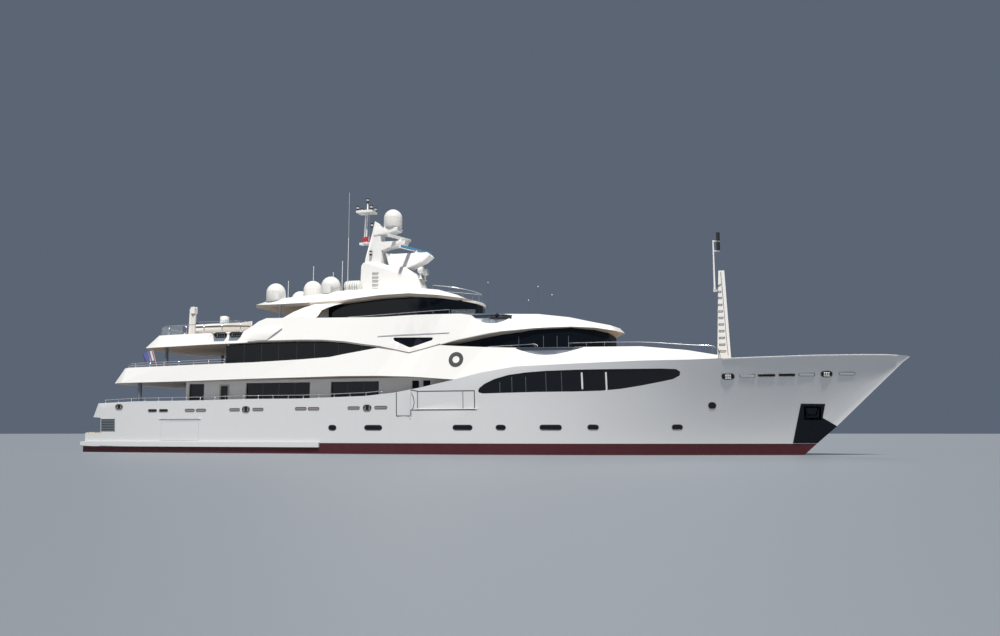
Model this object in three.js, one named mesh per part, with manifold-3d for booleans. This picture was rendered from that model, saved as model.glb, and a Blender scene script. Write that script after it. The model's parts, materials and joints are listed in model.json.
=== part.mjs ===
// Motor yacht afloat, three decks over a displacement hull, as a 1:2 scale model.
// Sizes below are those of the 60 m yacht, in metres; the last lines bring them to the model's
// millimetres. +X is the bow, +Y is port, +Z is up, and the origin is amidships on the waterline.
import * as THREE from 'three';
import { mergeVertices } from 'three/addons/utils/BufferGeometryUtils.js';
import Module from 'manifold-3d';

const wasm = await Module();
wasm.setup();

const MODEL_SCALE = 0.5;
const MM_PER_METRE = 1000;
const GAP = 0.0006;          // 0.3 mm on the model, between faces that would touch
const DOOR_GAP = 0.014;      // 7 mm on the model, round a door's edge
const PAINT_LINE = 0.75;     // red below, white above
const MAIN_DECK = 2.75;
const UPPER_DECK = 5.45;
const SUN_DECK = 8.41;
const TEAK = 0.06;
const PLATFORM = 1.52;
const BULWARK = 0.28;        // thickness of a bulwark
const WALL = 0.15;           // thickness of a deckhouse wall
const PANE = 0.04;           // thickness of a window pane

// Finishes, as colour, roughness and metalness.
const finish = (color, roughness, metalness = 0) =>
  new THREE.MeshStandardMaterial({ color, roughness, metalness });
const WHITE = () => finish(0xf1f2f2, 0.25);
const RED = () => finish(0x5e0d19, 0.5);
const GLASS = () => finish(0x10141c, 0.05, 0.2);
const DECKING = () => finish(0xa98f6c, 0.75);
const STEEL = () => finish(0x9aa0a6, 0.25, 1);
const BRONZE = () => finish(0x9c7b46, 0.35, 1);

// Solids: closing, joining and cutting.
function volume(positions, index) {
  let sum = 0;
  const at = (k) => new THREE.Vector3().fromArray(positions, 3 * k);
  for (let i = 0; i < index.length; i += 3) {
    sum += at(index[i]).dot(at(index[i + 1]).cross(at(index[i + 2])));
  }
  return sum;
}

function solid(geometry) {
  const bare = geometry.clone();
  for (const name of ['normal', 'uv']) {
    bare.deleteAttribute(name);
  }
  const merged = mergeVertices(bare, 1e-5);
  const positions = merged.attributes.position.array;
  const index = [];
  for (let i = 0; i < merged.index.count; i += 3) {
    const [a, b, c] = [0, 1, 2].map((k) => merged.index.getX(i + k));
    if (a !== b && b !== c && c !== a) {
      index.push(a, b, c);
    }
  }
  if (volume(positions, index) < 0) {
    index.reverse();
  }
  return new wasm.Manifold(new wasm.Mesh({
    numProp: 3, vertProperties: Float32Array.from(positions), triVerts: Uint32Array.from(index),
  }));
}

function geometryOf(manifold) {
  const mesh = manifold.getMesh();
  const geometry = new THREE.BufferGeometry();
  geometry.setAttribute('position', new THREE.BufferAttribute(mesh.vertProperties, 3));
  geometry.setIndex(new THREE.BufferAttribute(mesh.triVerts, 1));
  geometry.computeVertexNormals();
  return geometry;
}

const join = (first, ...rest) => rest.reduce((all, next) => all.add(next), first);
const cut = (first, ...rest) => rest.reduce((all, next) => all.subtract(next), first);
const moved = (manifold, x, y, z) => solid(geometryOf(manifold).translate(x, y, z));
const mirrored = (manifold) => solid(geometryOf(manifold).scale(1, -1, 1));
// A piece that stands on, or hangs under, a carrier: cut to it with the small gap between them.
const seated = (piece, carrier) => cut(piece, moved(carrier, 0, 0, GAP));
const hungUnder = (piece, carrier) => cut(piece, moved(carrier, 0, 0, -GAP));
// The same where the carrier has leaning sides too.
const cleared = (piece, carrier) => cut(piece, ...[-GAP, GAP].flatMap((gap) =>
  [moved(carrier, gap, 0, 0), moved(carrier, 0, gap, 0), moved(carrier, 0, 0, gap)]));

function fromTriangles(triangles) {
  const geometry = new THREE.BufferGeometry();
  geometry.setAttribute('position', new THREE.Float32BufferAttribute(triangles.flat(2), 3));
  return solid(geometry);
}

function block(x0, x1, y0, y1, z0, z1) {
  const box = new THREE.BoxGeometry(x1 - x0, y1 - y0, z1 - z0);
  return solid(box.translate((x0 + x1) / 2, (y0 + y1) / 2, (z0 + z1) / 2));
}

// A rod or tapered rod from one point to another.
function rod(from, to, radius, endRadius = radius, sides = 12) {
  const a = new THREE.Vector3(...from);
  const b = new THREE.Vector3(...to);
  const geometry = new THREE.CylinderGeometry(endRadius, radius, a.distanceTo(b), sides);
  const turn = new THREE.Quaternion().setFromUnitVectors(
    new THREE.Vector3(0, 1, 0), b.clone().sub(a).normalize());
  geometry.applyQuaternion(turn);
  return solid(geometry.translate(...a.add(b).multiplyScalar(0.5).toArray()));
}

// A round solid about a vertical line at x, y; the profile is [radius, z] from the axis back to it.
function turned(x, y, profile, sides = 20) {
  const geometry = new THREE.LatheGeometry(profile.map(([r, z]) => new THREE.Vector2(r, z)), sides);
  return solid(geometry.rotateX(Math.PI / 2).translate(x, y, 0));
}

// A side-view outline of [x, z] points, given its width across the yacht.
function sideways(outline, y0, y1) {
  const shape = new THREE.Shape(outline.map(([x, z]) => new THREE.Vector2(x, z)));
  const geometry = new THREE.ExtrudeGeometry(shape, { depth: y1 - y0, bevelEnabled: false });
  return solid(geometry.rotateX(Math.PI / 2).translate(0, y1, 0));
}

// A skin through levels from the lowest up. A level is a half outline of [x, y, z] points from the
// stern to the bow; the port half mirrors it, and flat strips across close the bottom and the top.
function layered(levels) {
  const triangles = [];
  const quad = (a, b, c, d) => triangles.push([a, b, c], [a, c, d]);
  const port = (p) => [p[0], p[1], p[2]];
  const starboard = (p) => [p[0], -p[1], p[2]];
  const last = levels[0].length - 1;
  for (let k = 0; k + 1 < levels.length; k += 1) {
    const [low, high] = [levels[k], levels[k + 1]];
    for (let i = 0; i < last; i += 1) {
      quad(starboard(low[i]), starboard(low[i + 1]), starboard(high[i + 1]), starboard(high[i]));
      quad(port(low[i]), port(high[i]), port(high[i + 1]), port(low[i + 1]));
    }
    quad(port(low[0]), starboard(low[0]), starboard(high[0]), port(high[0]));
    quad(starboard(low[last]), port(low[last]), port(high[last]), starboard(high[last]));
  }
  const [bottom, top] = [levels[0], levels[levels.length - 1]];
  for (let i = 0; i < last; i += 1) {
    quad(starboard(bottom[i]), port(bottom[i]), port(bottom[i + 1]), starboard(bottom[i + 1]));
    quad(starboard(top[i]), starboard(top[i + 1]), port(top[i + 1]), port(top[i]));
  }
  return fromTriangles(triangles);
}

// Draws a closed outline in by a distance, square to its edges; it runs anticlockwise.
function drawnIn(outline, distance) {
  const count = outline.length;
  const normal = (p, q) => {
    const length = Math.hypot(q[0] - p[0], q[1] - p[1]);
    return [-(q[1] - p[1]) / length, (q[0] - p[0]) / length];
  };
  return outline.map((point, i) => {
    const before = normal(outline[(i + count - 1) % count], point);
    const after = normal(point, outline[(i + 1) % count]);
    const mitre = distance / (1 + before[0] * after[0] + before[1] * after[1]);
    return [point[0] + mitre * (before[0] + after[0]), point[1] + mitre * (before[1] + after[1])];
  });
}

// The same for a half outline of [x, y] points from the stern to the bow.
function inset(half, distance) {
  const ring = [...half.map(([x, y]) => [x, -y]), ...half.slice().reverse()];
  const outline = ring.filter((p, i) => {
    const q = ring[(i + ring.length - 1) % ring.length];
    return Math.hypot(p[0] - q[0], p[1] - q[1]) > 1e-6;
  });
  const inner = drawnIn(outline, distance);
  return half.map(([x, y]) => {
    const i = outline.findIndex((p) => Math.hypot(p[0] - x, p[1] + y) < 1e-6);
    return [inner[i][0], y === 0 ? 0 : Math.max(-inner[i][1], 0)];
  });
}

const atHeight = (half, z) => half.map(([x, y]) => [x, y, typeof z === 'function' ? z(x) : z]);
const plate = (half, z0, z1) => layered([atHeight(half, z0), atHeight(half, z1)]);

// Reads a column of a table whose first column rises, straight between its rows.
function read(table, column, x) {
  const last = table.length - 1;
  const i = Math.min(Math.max(table.findIndex((row) => row[0] > x) - 1, 0), last - 1);
  const start = x >= table[last][0] ? last - 1 : i;
  const [a, b] = [table[start], table[start + 1]];
  const t = Math.min(Math.max((x - a[0]) / (b[0] - a[0]), 0), 1);
  return a[column] + t * (b[column] - a[column]);
}

// Hull. Columns: x, height of the keel or stem, half-breadth at the water, half-breadth at the
// sheer, height of the sheer, fullness from 1 at a round bilge to 0 at a sharp V.
const STATIONS = [
  [-29.95, -0.60, 4.20, 4.42, 3.70, 1.0],
  [-28.00, -0.75, 4.50, 4.75, 3.71, 1.0],
  [-24.80, -1.10, 4.72, 4.92, 3.82, 1.0],
  [-19.10, -1.90, 4.92, 5.07, 3.84, 1.0],
  [-15.70, -2.40, 4.96, 5.13, 3.90, 1.0],
  [-11.20, -2.80, 5.00, 5.18, 3.89, 1.0],
  [-6.10, -3.00, 4.98, 5.20, 4.02, 1.0],
  [-4.06, -3.00, 4.96, 5.20, 4.22, 1.0],
  [-2.12, -3.00, 4.94, 5.20, 4.54, 0.98],
  [0.40, -3.00, 4.88, 5.20, 5.07, 0.95],
  [2.39, -3.00, 4.78, 5.18, 5.53, 0.9],
  [4.71, -3.00, 4.62, 5.15, 5.88, 0.84],
  [8.50, -3.00, 4.12, 5.08, 6.01, 0.7],
  [13.00, -2.95, 3.05, 4.80, 6.14, 0.5],
  [16.00, -2.85, 2.20, 4.45, 6.17, 0.35],
  [18.70, -2.65, 1.40, 4.00, 6.27, 0.2],
  [20.50, -2.30, 0.88, 3.57, 6.34, 0.1],
  [22.00, -1.50, 0.42, 3.15, 6.39, 0.0],
  [23.20, -0.02, 0.06, 2.80, 6.44, 0.0],
  [24.16, 0.86, 0.06, 2.48, 6.47, 0.0],
  [25.24, 1.81, 0.06, 2.12, 6.49, 0.0],
  [27.00, 3.53, 0.06, 1.48, 6.53, 0.0],
  [28.50, 5.00, 0.06, 0.85, 6.54, 0.0],
  [29.60, 6.07, 0.05, 0.28, 6.50, 0.0],
  [30.00, 6.38, 0.04, 0.06, 6.46, 0.0],
];
const [KEEL_Z, WATER_HALF, DECK_HALF, SHEER_Z, FULLNESS] = [1, 2, 3, 4, 5];
const KEEL_HALF = 0.06;
const LOW_ROWS = 6;
const HIGH_ROWS = 7;
const sheer = (x) => read(STATIONS, SHEER_Z, x);
const deckHalf = (x) => read(STATIONS, DECK_HALF, x);

// Half-breadth of one station's section at a height.
function sectionHalf(station, z) {
  const [, keel, water, deck, top, full] = station;
  const split = Math.max(0, keel);
  if (z <= split) {
    const rise = Math.min(Math.max((z - keel) / Math.max(split - keel, 1e-3), 0), 1);
    const round = (1 - (1 - rise) ** (1.3 + 1.3 * full)) ** (0.9 - 0.4 * full);
    return KEEL_HALF + (water - KEEL_HALF) * round;
  }
  const flare = 1 + 0.35 * (1 - full);
  return water + (deck - water) * Math.min((z - split) / (top - split), 1) ** flare;
}

// Half-breadth of the hull at any place and height.
function hullHalf(x, z) {
  const i = STATIONS.findIndex((row) => row[0] >= x);
  const after = Math.max(i < 0 ? STATIONS.length - 1 : i, 1);
  const [a, b] = [STATIONS[after - 1], STATIONS[after]];
  const t = (x - a[0]) / (b[0] - a[0]);
  return (1 - t) * sectionHalf(a, z) + t * sectionHalf(b, z);
}

// The whole hull's solid, thicker all round by an offset, or thinner when it is negative.
function hullSkin(offset) {
  const rows = LOW_ROWS + HIGH_ROWS + 1;
  const levels = [];
  for (let k = 0; k < rows; k += 1) {
    levels.push(STATIONS.map((station, i) => {
      const [x, keel, , , top] = station;
      const split = Math.max(0, keel + 0.12 * (top - keel));
      const z = k <= LOW_ROWS
        ? keel + (split - keel) * (k / LOW_ROWS) ** 1.5
        : split + (top - split) * (k - LOW_ROWS) / HIGH_ROWS;
      const aft = i === 0 ? Math.max(offset, 0) : 0;
      return [x - aft, Math.max(sectionHalf(station, z) + offset, 0.01), z];
    }));
  }
  return layered(levels);
}

const FAR = 40;
const HULL = hullSkin(0);
// A piece of the ship's side inside a side-view outline, between two depths under its surface.
function sidePatch(outline, port, outer, inner) {
  const slab = port ? sideways(outline, 0, FAR) : sideways(outline, -FAR, 0);
  return cut(hullSkin(outer).intersect(slab), hullSkin(inner));
}

function rectangle(x0, x1, z0, z1, margin = 0) {
  const [a, b, c, d] = [x0 + margin, x1 - margin, z0 + margin, z1 - margin];
  return [[a, c], [b, c], [b, d], [a, d]];
}

// Stern, seen from the side: everything aft of and above this line is cut away.
const TRANSOM_X = -28.15;
const PLATFORM_AFT = -29.75;
const STERN_CUT = [
  [-31, 0.82], [PLATFORM_AFT, 0.82], [PLATFORM_AFT, PLATFORM - TEAK], [TRANSOM_X, PLATFORM - TEAK],
  [TRANSOM_X, 2.6], [-28.9, 2.66], [-28.6, 3.26], [-28.36, 3.76], [-28.36, 8], [-31, 8],
];
const WELL_AFT = TRANSOM_X + 0.3;
const WELL_FORE = 0.6;
const FORE_WELL_END = 27.6;

function halfAlong(xs, halfAt) {
  return xs.map((x) => [x, halfAt(x)]);
}
const stationsBetween = (x0, x1) =>
  [x0, ...STATIONS.map((row) => row[0]).filter((x) => x > x0 + 0.2 && x < x1 - 0.2), x1];

// Main deck, sunk between the bulwarks.
const mainHalf = (x) => hullHalf(x, MAIN_DECK) - BULWARK;
const MAIN_OUTLINE = halfAlong(stationsBetween(WELL_AFT, WELL_FORE), mainHalf);

// Upper deck band: the white belt from the rounded stern to the bow's upper bulwark. Columns:
// x, half-breadth and height of the lower edge, then the same of the upper edge.
const BAND = [
  [-27.82, 0.00, 5.20, -27.07, 0.00, 6.34],
  [-27.78, 1.60, 5.20, -27.03, 1.55, 6.34],
  [-27.66, 3.10, 5.20, -26.90, 3.00, 6.34],
  [-27.44, 4.10, 5.21, -26.68, 3.95, 6.35],
  [-27.15, 4.52, 5.22, -26.42, 4.35, 6.37],
  [-26.45, 4.75, 5.24, -25.85, 4.58, 6.40],
  [-23.50, 4.88, 5.25, -23.20, 4.74, 6.44],
  [-20.50, 4.98, 5.28, -20.40, 4.85, 6.49],
  [-18.00, 5.05, 5.32, -18.00, 4.90, 6.53],
  [-15.00, 5.10, 5.37, -15.00, 4.93, 6.58],
  [-11.20, 5.18, 5.40, -11.20, 4.95, 6.71],
  [-9.05, 5.18, 5.43, -9.05, 4.92, 6.83],
  [-7.90, 5.18, 5.44, -7.90, 4.88, 7.03],
  [-5.40, 5.18, 5.42, -5.40, 4.80, 7.42],
  [-4.06, 5.19, 5.37, -4.06, 4.77, 7.18],
  [-3.07, 5.19, 5.34, -3.07, 4.75, 6.96],
  [-1.90, 5.19, 5.26, -1.90, 4.74, 7.24],
  [-0.80, 5.20, 5.17, -0.80, 4.73, 7.50],
  ...[[0.4, 4.72, 7.41], [2.39, 4.71, 7.29], [4.71, 4.68, 7.19], [8.5, 4.62, 7.15],
    [13, 4.42, 7.11], [16, 4.25, 6.80], [17.9, 4.05, 6.46]].map(([x, half, z]) =>
    [x, deckHalf(x), sheer(x) + GAP, x, half, z]),
];
const lowEdge = (rows) => rows.map(([x, y, z]) => [x, y, z]);
const highEdge = (rows) => rows.map(([, , , x, y, z]) => [x, y, z]);
const withHeights = (half, heights) => half.map(([x, y], i) => [x, y, heights[i][2]]);

// Levels of a well inside a belt: its floor, and the belt's upper edge, each drawn in.
function wellLevels(rows, floor, wall) {
  const low = inset(lowEdge(rows), wall);
  const high = inset(highEdge(rows), wall);
  const floorHalf = low.map(([x, y], i) => {
    const t = (floor - rows[i][2]) / (rows[i][5] - rows[i][2]);
    const s = Math.min(Math.max(t, 0), 1);
    return [x + s * (high[i][0] - x), y + s * (high[i][1] - y)];
  });
  const brim = withHeights(high, highEdge(rows)).map(([x, y, z]) => [x, y, z + 0.02]);
  return [atHeight(floorHalf, floor), brim];
}

// A shallow dish in a belt's outer face, inside a side-view outline.
function dished(rows, outline, depth) {
  const core = layered([lowEdge, highEdge].map((edge) =>
    withHeights(inset(edge(rows), depth), edge(rows))));
  return cut(sideways(outline, -FAR, FAR), core);
}

// Air intakes low in the ship's side, right aft.
const LOUVRES = { aft: -28.05, fore: -26.85, low: 1.56, pitch: 0.125, height: 0.07, count: 8, depth: 0.12 };

function hullTopsides(openings) {
  const upperFloor = UPPER_DECK - TEAK;
  const foreXs = stationsBetween(1.6, FORE_WELL_END);
  const foreWell = layered([
    foreXs.map((x) => [x, hullHalf(x, upperFloor) - BULWARK, upperFloor]),
    foreXs.map((x) => [x, deckHalf(x) - BULWARK, sheer(x) + 0.02]),
  ]);
  const { inner, outer } = STERN_STAIRS;
  const stairs = [sternStairs(inner, outer), sternStairs(-outer, -inner)];
  const slots = [];
  for (let k = 0; k < LOUVRES.count; k += 1) {
    const z = LOUVRES.low + k * LOUVRES.pitch;
    const outline = rectangle(LOUVRES.aft, LOUVRES.fore, z, z + LOUVRES.height);
    slots.push(...[true, false].map((port) => sidePatch(outline, port, 1, -LOUVRES.depth)));
  }
  return cut(HULL,
    block(-FAR, FAR, -FAR, FAR, -FAR, PAINT_LINE),
    sideways(STERN_CUT, -FAR, FAR),
    plate(MAIN_OUTLINE, MAIN_DECK - TEAK, 9),
    foreWell, ...stairs, ...slots, ...openings);
}

// A flight of steps from the swimming platform up to the main deck, on each side.
const STERN_STAIRS = { steps: 5, run: 0.36, landing: 0.15, headroom: 6, inner: 3.05, outer: 4.05 };
function sternStairs(y0, y1) {
  const { steps, run, landing, headroom } = STERN_STAIRS;
  const start = PLATFORM - TEAK;
  const rise = (MAIN_DECK - PLATFORM) / steps;
  const outline = [[TRANSOM_X - 0.1, start]];
  for (let k = 0; k < steps; k += 1) {
    const x = TRANSOM_X + landing + k * run;
    outline.push([x, start + k * rise], [x, start + (k + 1) * rise]);
  }
  const top = outline[outline.length - 1];
  outline.push([top[0], headroom], [TRANSOM_X - 0.1, headroom]);
  return sideways(outline, y0, y1);
}

// Hinges: a barrel on the door between two on the hull, on one line, end to end.
const BARREL = 0.035;
const BARREL_GAP = 0.0019;
function hinge(from, to, reach = 0.2) {
  const a = new THREE.Vector3(...from);
  const b = new THREE.Vector3(...to);
  const along = b.clone().sub(a).normalize();
  const point = (start, distance) => start.clone().addScaledVector(along, distance).toArray();
  return {
    onDoor: rod(from, to, BARREL),
    onHull: [
      rod(point(a, -reach), point(a, -BARREL_GAP), BARREL),
      rod(point(b, BARREL_GAP), point(b, reach), BARREL),
    ],
  };
}

// Doors in the ship's side. Columns: name, outline x0, x1, z0, z1, thickness, recess behind,
// hinge edge.
const SIDE_DOORS = [
  ['shell_door', -22.62, -19.39, 0.88, 2.55, 0.22, 0, 'top'],
  ['boarding_gate', -3.77, -2.73, 2.62, 6.0, 0.26, 0.2, 'fore'],
  ['side_balcony', -2.15, 1.82, 3.03, 4.29, 0.22, 0.9, 'low'],
];
const HINGE_OUT = 0.015;
const HINGE_IN = 0.05;
const GATE_FOOT = 0.034;     // under the gate, which drops a little as it swings out
const leafFoot = ([, , , z0, , , , edge]) => z0 + (edge === 'fore' ? GATE_FOOT : DOOR_GAP);

function hingeLine(row, port) {
  const [, x0, x1, z0, z1, , , edge] = row;
  const side = port ? 1 : -1;
  const [a, b, c] = [x0 + DOOR_GAP, x1 - DOOR_GAP, z1 - HINGE_IN];
  if (edge === 'fore') {
    const x = x1 - HINGE_IN;
    return [leafFoot(row) - GAP, sheer(x) - 0.25].map((z) =>
      [x, side * (hullHalf(x, z) + HINGE_OUT), z]);
  }
  const z = edge === 'top' ? c : z0 + HINGE_IN;
  return [a, b].map((x) => [x, side * (hullHalf(x, z) + HINGE_OUT), z]);
}

function sideDoor(row, port) {
  const [, x0, x1, z0, z1, thick, recess] = row;
  const { onDoor, onHull } = hinge(...hingeLine(row, port));
  const outline = rectangle(x0 + DOOR_GAP, x1 - DOOR_GAP, leafFoot(row), z1 - DOOR_GAP);
  const leaf = sidePatch(outline, port, 0, -thick);
  return {
    leaf: join(leaf, onDoor),
    hole: sidePatch(rectangle(x0, x1, z0, z1), port, 1, -thick - Math.max(recess, DOOR_GAP)),
    seats: row[7] === 'fore' ? onHull.slice(0, 1) : onHull,
  };
}

// Tender garage, right across the hull behind the shell doors.
const GARAGE = { aft: -22.62, fore: -19.39, low: 0.88, high: 2.45 };

// Beach club door in the transom, folding down on to the platform.
const TRANSOM_DOOR = { half: 2.4, low: 1.6, high: 2.6, thick: 0.14, depth: 1.6 };
function transomDoor() {
  const { half, low, high, thick, depth } = TRANSOM_DOOR;
  const line = [-1, 1].map((side) => [TRANSOM_X - HINGE_OUT, side * (half - DOOR_GAP), low + HINGE_IN]);
  const { onDoor, onHull } = hinge(...line);
  const leaf = block(TRANSOM_X, TRANSOM_X + thick, -half + DOOR_GAP, half - DOOR_GAP,
    low + DOOR_GAP, high - DOOR_GAP);
  return {
    leaf: join(leaf, onDoor),
    hole: block(TRANSOM_X - 0.2, TRANSOM_X + depth, -half, half, low, high),
    seats: onHull,
  };
}

// Main-deck window in the hull, forward: the long dark lens.
const HULL_WINDOW = [
  [2.08, 4.28], [2.13, 4.17], [2.42, 4.10], [3.88, 4.13], [6.08, 4.17], [8.68, 4.18], [10.37, 4.22],
  [11.63, 4.33], [12.88, 4.52], [14.32, 4.79], [15.03, 4.94], [15.46, 5.16], [15.51, 5.41],
  [15.25, 5.58], [14.34, 5.62], [11.65, 5.62], [8.91, 5.61], [6.75, 5.56], [5.43, 5.48],
  [4.21, 5.33], [3.21, 5.06], [2.53, 4.75], [2.17, 4.47],
];
const WINDOW_POCKET = 0.16;

// Half-round fender along the stern half of the waterline, round the platform too.
const RUB_RAIL = { low: 0.45, high: 0.81, proud: 0.15, fore: -9.6 };
function rubRail() {
  const band = block(-FAR, RUB_RAIL.fore, -FAR, FAR, RUB_RAIL.low, RUB_RAIL.high);
  return cut(hullSkin(RUB_RAIL.proud).intersect(band), hullSkin(GAP));
}

// Polished plate round the stem and the anchor pockets.
const STEM_PLATE = [[22.5, 0.78], [23.06, 3.36], [24.61, 3.35], [24.44, 2.45], [25.6, 1.75], [24.9, 0.78]];
const PLATE_THICK = 0.03;
const ANCHOR_POCKET = { aft: 23.25, fore: 24.35, low: 2.3, high: 3.2, depth: 0.35 };
const stemPlate = (port) => sidePatch(STEM_PLATE, port, PLATE_THICK, GAP);

// Anchor, its shank up the pocket and its flukes against the plate.
function anchor(port) {
  const { aft, fore, low, high, depth } = ANCHOR_POCKET;
  const side = port ? 1 : -1;
  const x = (aft + fore) / 2;
  const at = (dx, z) => [x + dx, side * (hullHalf(x + dx, z) - 0.12), z];
  const pocketFloor = sidePatch(rectangle(aft, fore, low, high, 0.1), port, -depth + 0.16, -depth + GAP);
  const crown = rod(at(-0.36, low + 0.24), at(0.36, low + 0.24), 0.1, 0.1, 8);
  const flukes = [-1, 1].map((way) =>
    rod(at(way * 0.3, low + 0.24), at(way * 0.4, high - 0.15), 0.09, 0.04, 6));
  return join(pocketFloor, crown, ...flukes);
}

// Under the water: shafts, propellers, rudders and stabiliser fins.
const SHAFT = { y: 2.3, aft: [-25.25, -2.1], fore: [-16.2, -1.45], radius: 0.11 };
const PROPELLER = { radius: 0.85, hub: 0.19, length: 0.5, blades: 5 };
const RUDDER = { x: -27.1, y: 2.3, top: -1.12, bottom: -2.85, fore: 0.45, aft: 0.95, boss: -1.02 };
const FIN = { x: 2.0, root: [4.28, -1.72], direction: [0.66, -0.75], length: 1.25, boss: 0.2 };

const shaftDirection = new THREE.Vector3(
  SHAFT.aft[0] - SHAFT.fore[0], 0, SHAFT.aft[1] - SHAFT.fore[1]).normalize();

function shaftLine(hull) {
  const aft = [SHAFT.aft[0], SHAFT.y, SHAFT.aft[1]];
  const fore = [SHAFT.fore[0], SHAFT.y, SHAFT.fore[1]];
  const bracket = new THREE.Vector3(...aft).addScaledVector(shaftDirection, -0.55);
  const strut = (y) => rod([bracket.x, y, 0], [bracket.x, SHAFT.y, bracket.z], 0.11, 0.11, 8);
  const line = join(
    rod(aft, fore, SHAFT.radius), rod(
      bracket.toArray(), bracket.clone().addScaledVector(shaftDirection, 0.4).toArray(), 0.2),
    strut(SHAFT.y - 0.7), strut(SHAFT.y + 0.7));
  return hungUnder(line, hull);
}

function propeller() {
  const { radius, hub, length, blades } = PROPELLER;
  const hubShape = new THREE.LatheGeometry(
    [[0, 0], [hub, 0], [hub, length * 0.7], [hub * 0.5, length], [0, length]]
      .map(([r, z]) => new THREE.Vector2(r, z)), 15);
  let whole = solid(hubShape);
  const outline = [[0.1, -0.12], [0.35, -0.26], [0.65, -0.3], [radius, -0.05], [radius, 0.05],
    [0.65, 0.24], [0.35, 0.2], [0.1, 0.12]];
  for (let k = 0; k < blades; k += 1) {
    const shape = new THREE.Shape(outline.map(([r, w]) => new THREE.Vector2(r, w)));
    const blade = new THREE.ExtrudeGeometry(shape, { depth: 0.05, bevelEnabled: false });
    blade.translate(0, 0, -0.025).rotateX(1.05).translate(0, length * 0.35, 0);
    blade.rotateY((k / blades) * 2 * Math.PI);
    whole = join(whole, solid(blade));
  }
  const turn = new THREE.Quaternion().setFromUnitVectors(new THREE.Vector3(0, 1, 0), shaftDirection);
  const geometry = geometryOf(whole).applyQuaternion(turn);
  const start = new THREE.Vector3(SHAFT.aft[0], SHAFT.y, SHAFT.aft[1]);
  return solid(geometry.translate(...start.addScaledVector(shaftDirection, GAP).toArray()));
}

function rudder() {
  const { x, y, top, bottom, fore, aft, boss } = RUDDER;
  const half = 0.11;
  const foil = [[x + fore, 0], [x + fore - 0.12, half * 0.7], [x, half], [x - aft, 0.02]];
  const blade = plate([...foil].reverse(), bottom, top);
  return join(moved(blade, 0, y, 0), rod([x, y, top - 0.1], [x, y, boss - GAP], 0.14));
}

function fin() {
  const [y, z] = FIN.root;
  const [dy, dz] = FIN.direction;
  const blade = new THREE.Shape([[-0.7, 0.03], [0.75, 0.03], [0.55, FIN.length], [-0.55, FIN.length]]
    .map(([u, v]) => new THREE.Vector2(u, v)));
  const geometry = new THREE.ExtrudeGeometry(blade, { depth: 0.14, bevelEnabled: false });
  geometry.translate(0, 0, -0.07);
  const stock = new THREE.CylinderGeometry(0.16, 0.16, 0.3, 12).translate(0, 0.15 + GAP, 0);
  const shape = geometryOf(join(solid(geometry), solid(stock)));
  shape.applyQuaternion(new THREE.Quaternion().setFromUnitVectors(
    new THREE.Vector3(0, 1, 0), new THREE.Vector3(0, dy, dz).normalize()));
  return solid(shape.translate(FIN.x, y, z));
}

function hullBottom() {
  const body = HULL.intersect(block(-FAR, FAR, -FAR, FAR, -FAR, PAINT_LINE));
  const skeg = sideways([[-24, -0.6], [-23.4, -2.4], [-13, -2.98], [-10, -2.0]], -0.12, 0.12);
  const glands = [-1, 1].map((side) =>
    rod([RUDDER.x, side * RUDDER.y, -0.4], [RUDDER.x, side * RUDDER.y, RUDDER.boss], 0.3));
  const [y, z] = FIN.root;
  const [dy, dz] = FIN.direction;
  const bosses = [-1, 1].map((side) => rod([FIN.x, side * (y - 0.6 * dy), z - 0.6 * dz],
    [FIN.x, side * y, z], 0.3));
  return cut(join(body, skeg, ...glands, ...bosses),
    sideways(STERN_CUT, -FAR, FAR));
}

// Upper deck: one belt with the deck in it, its posts, and the scoop in the bow's upper bulwark.
function upperWell() {
  const stretched = wellLevels(BAND, UPPER_DECK - TEAK, BULWARK).map((points) => {
    const [x, y, z] = points[points.length - 1];
    return [...points.slice(0, -1), [x + 1, y, z]];
  });
  return layered(stretched);
}
const BOW_SCOOP = [[4.56, 7.14], [5.02, 6.98], [5.56, 6.82], [6.1, 6.69], [6.67, 6.64], [7.4, 6.67],
  [8.2, 6.83], [9.28, 7.12]];
const DISH = 0.14;           // depth of the dishes in the belts' faces
const MAIN_POST = { x: -25.06, y: 4.3, radius: 0.16 };
const UPPER_POST = { x: -23.15, y: 3.85, radius: 0.12 };

function upperDeckBand() {
  const belt = layered([lowEdge(BAND), highEdge(BAND)]);
  const shell = cut(belt, upperWell(), dished(BAND, BOW_SCOOP, DISH));
  const posts = [-1, 1].map((side) => rod(
    [MAIN_POST.x, side * MAIN_POST.y, MAIN_DECK - TEAK + GAP],
    [MAIN_POST.x, side * MAIN_POST.y, 5.3], MAIN_POST.radius));
  return join(shell, ...posts);
}

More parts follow.
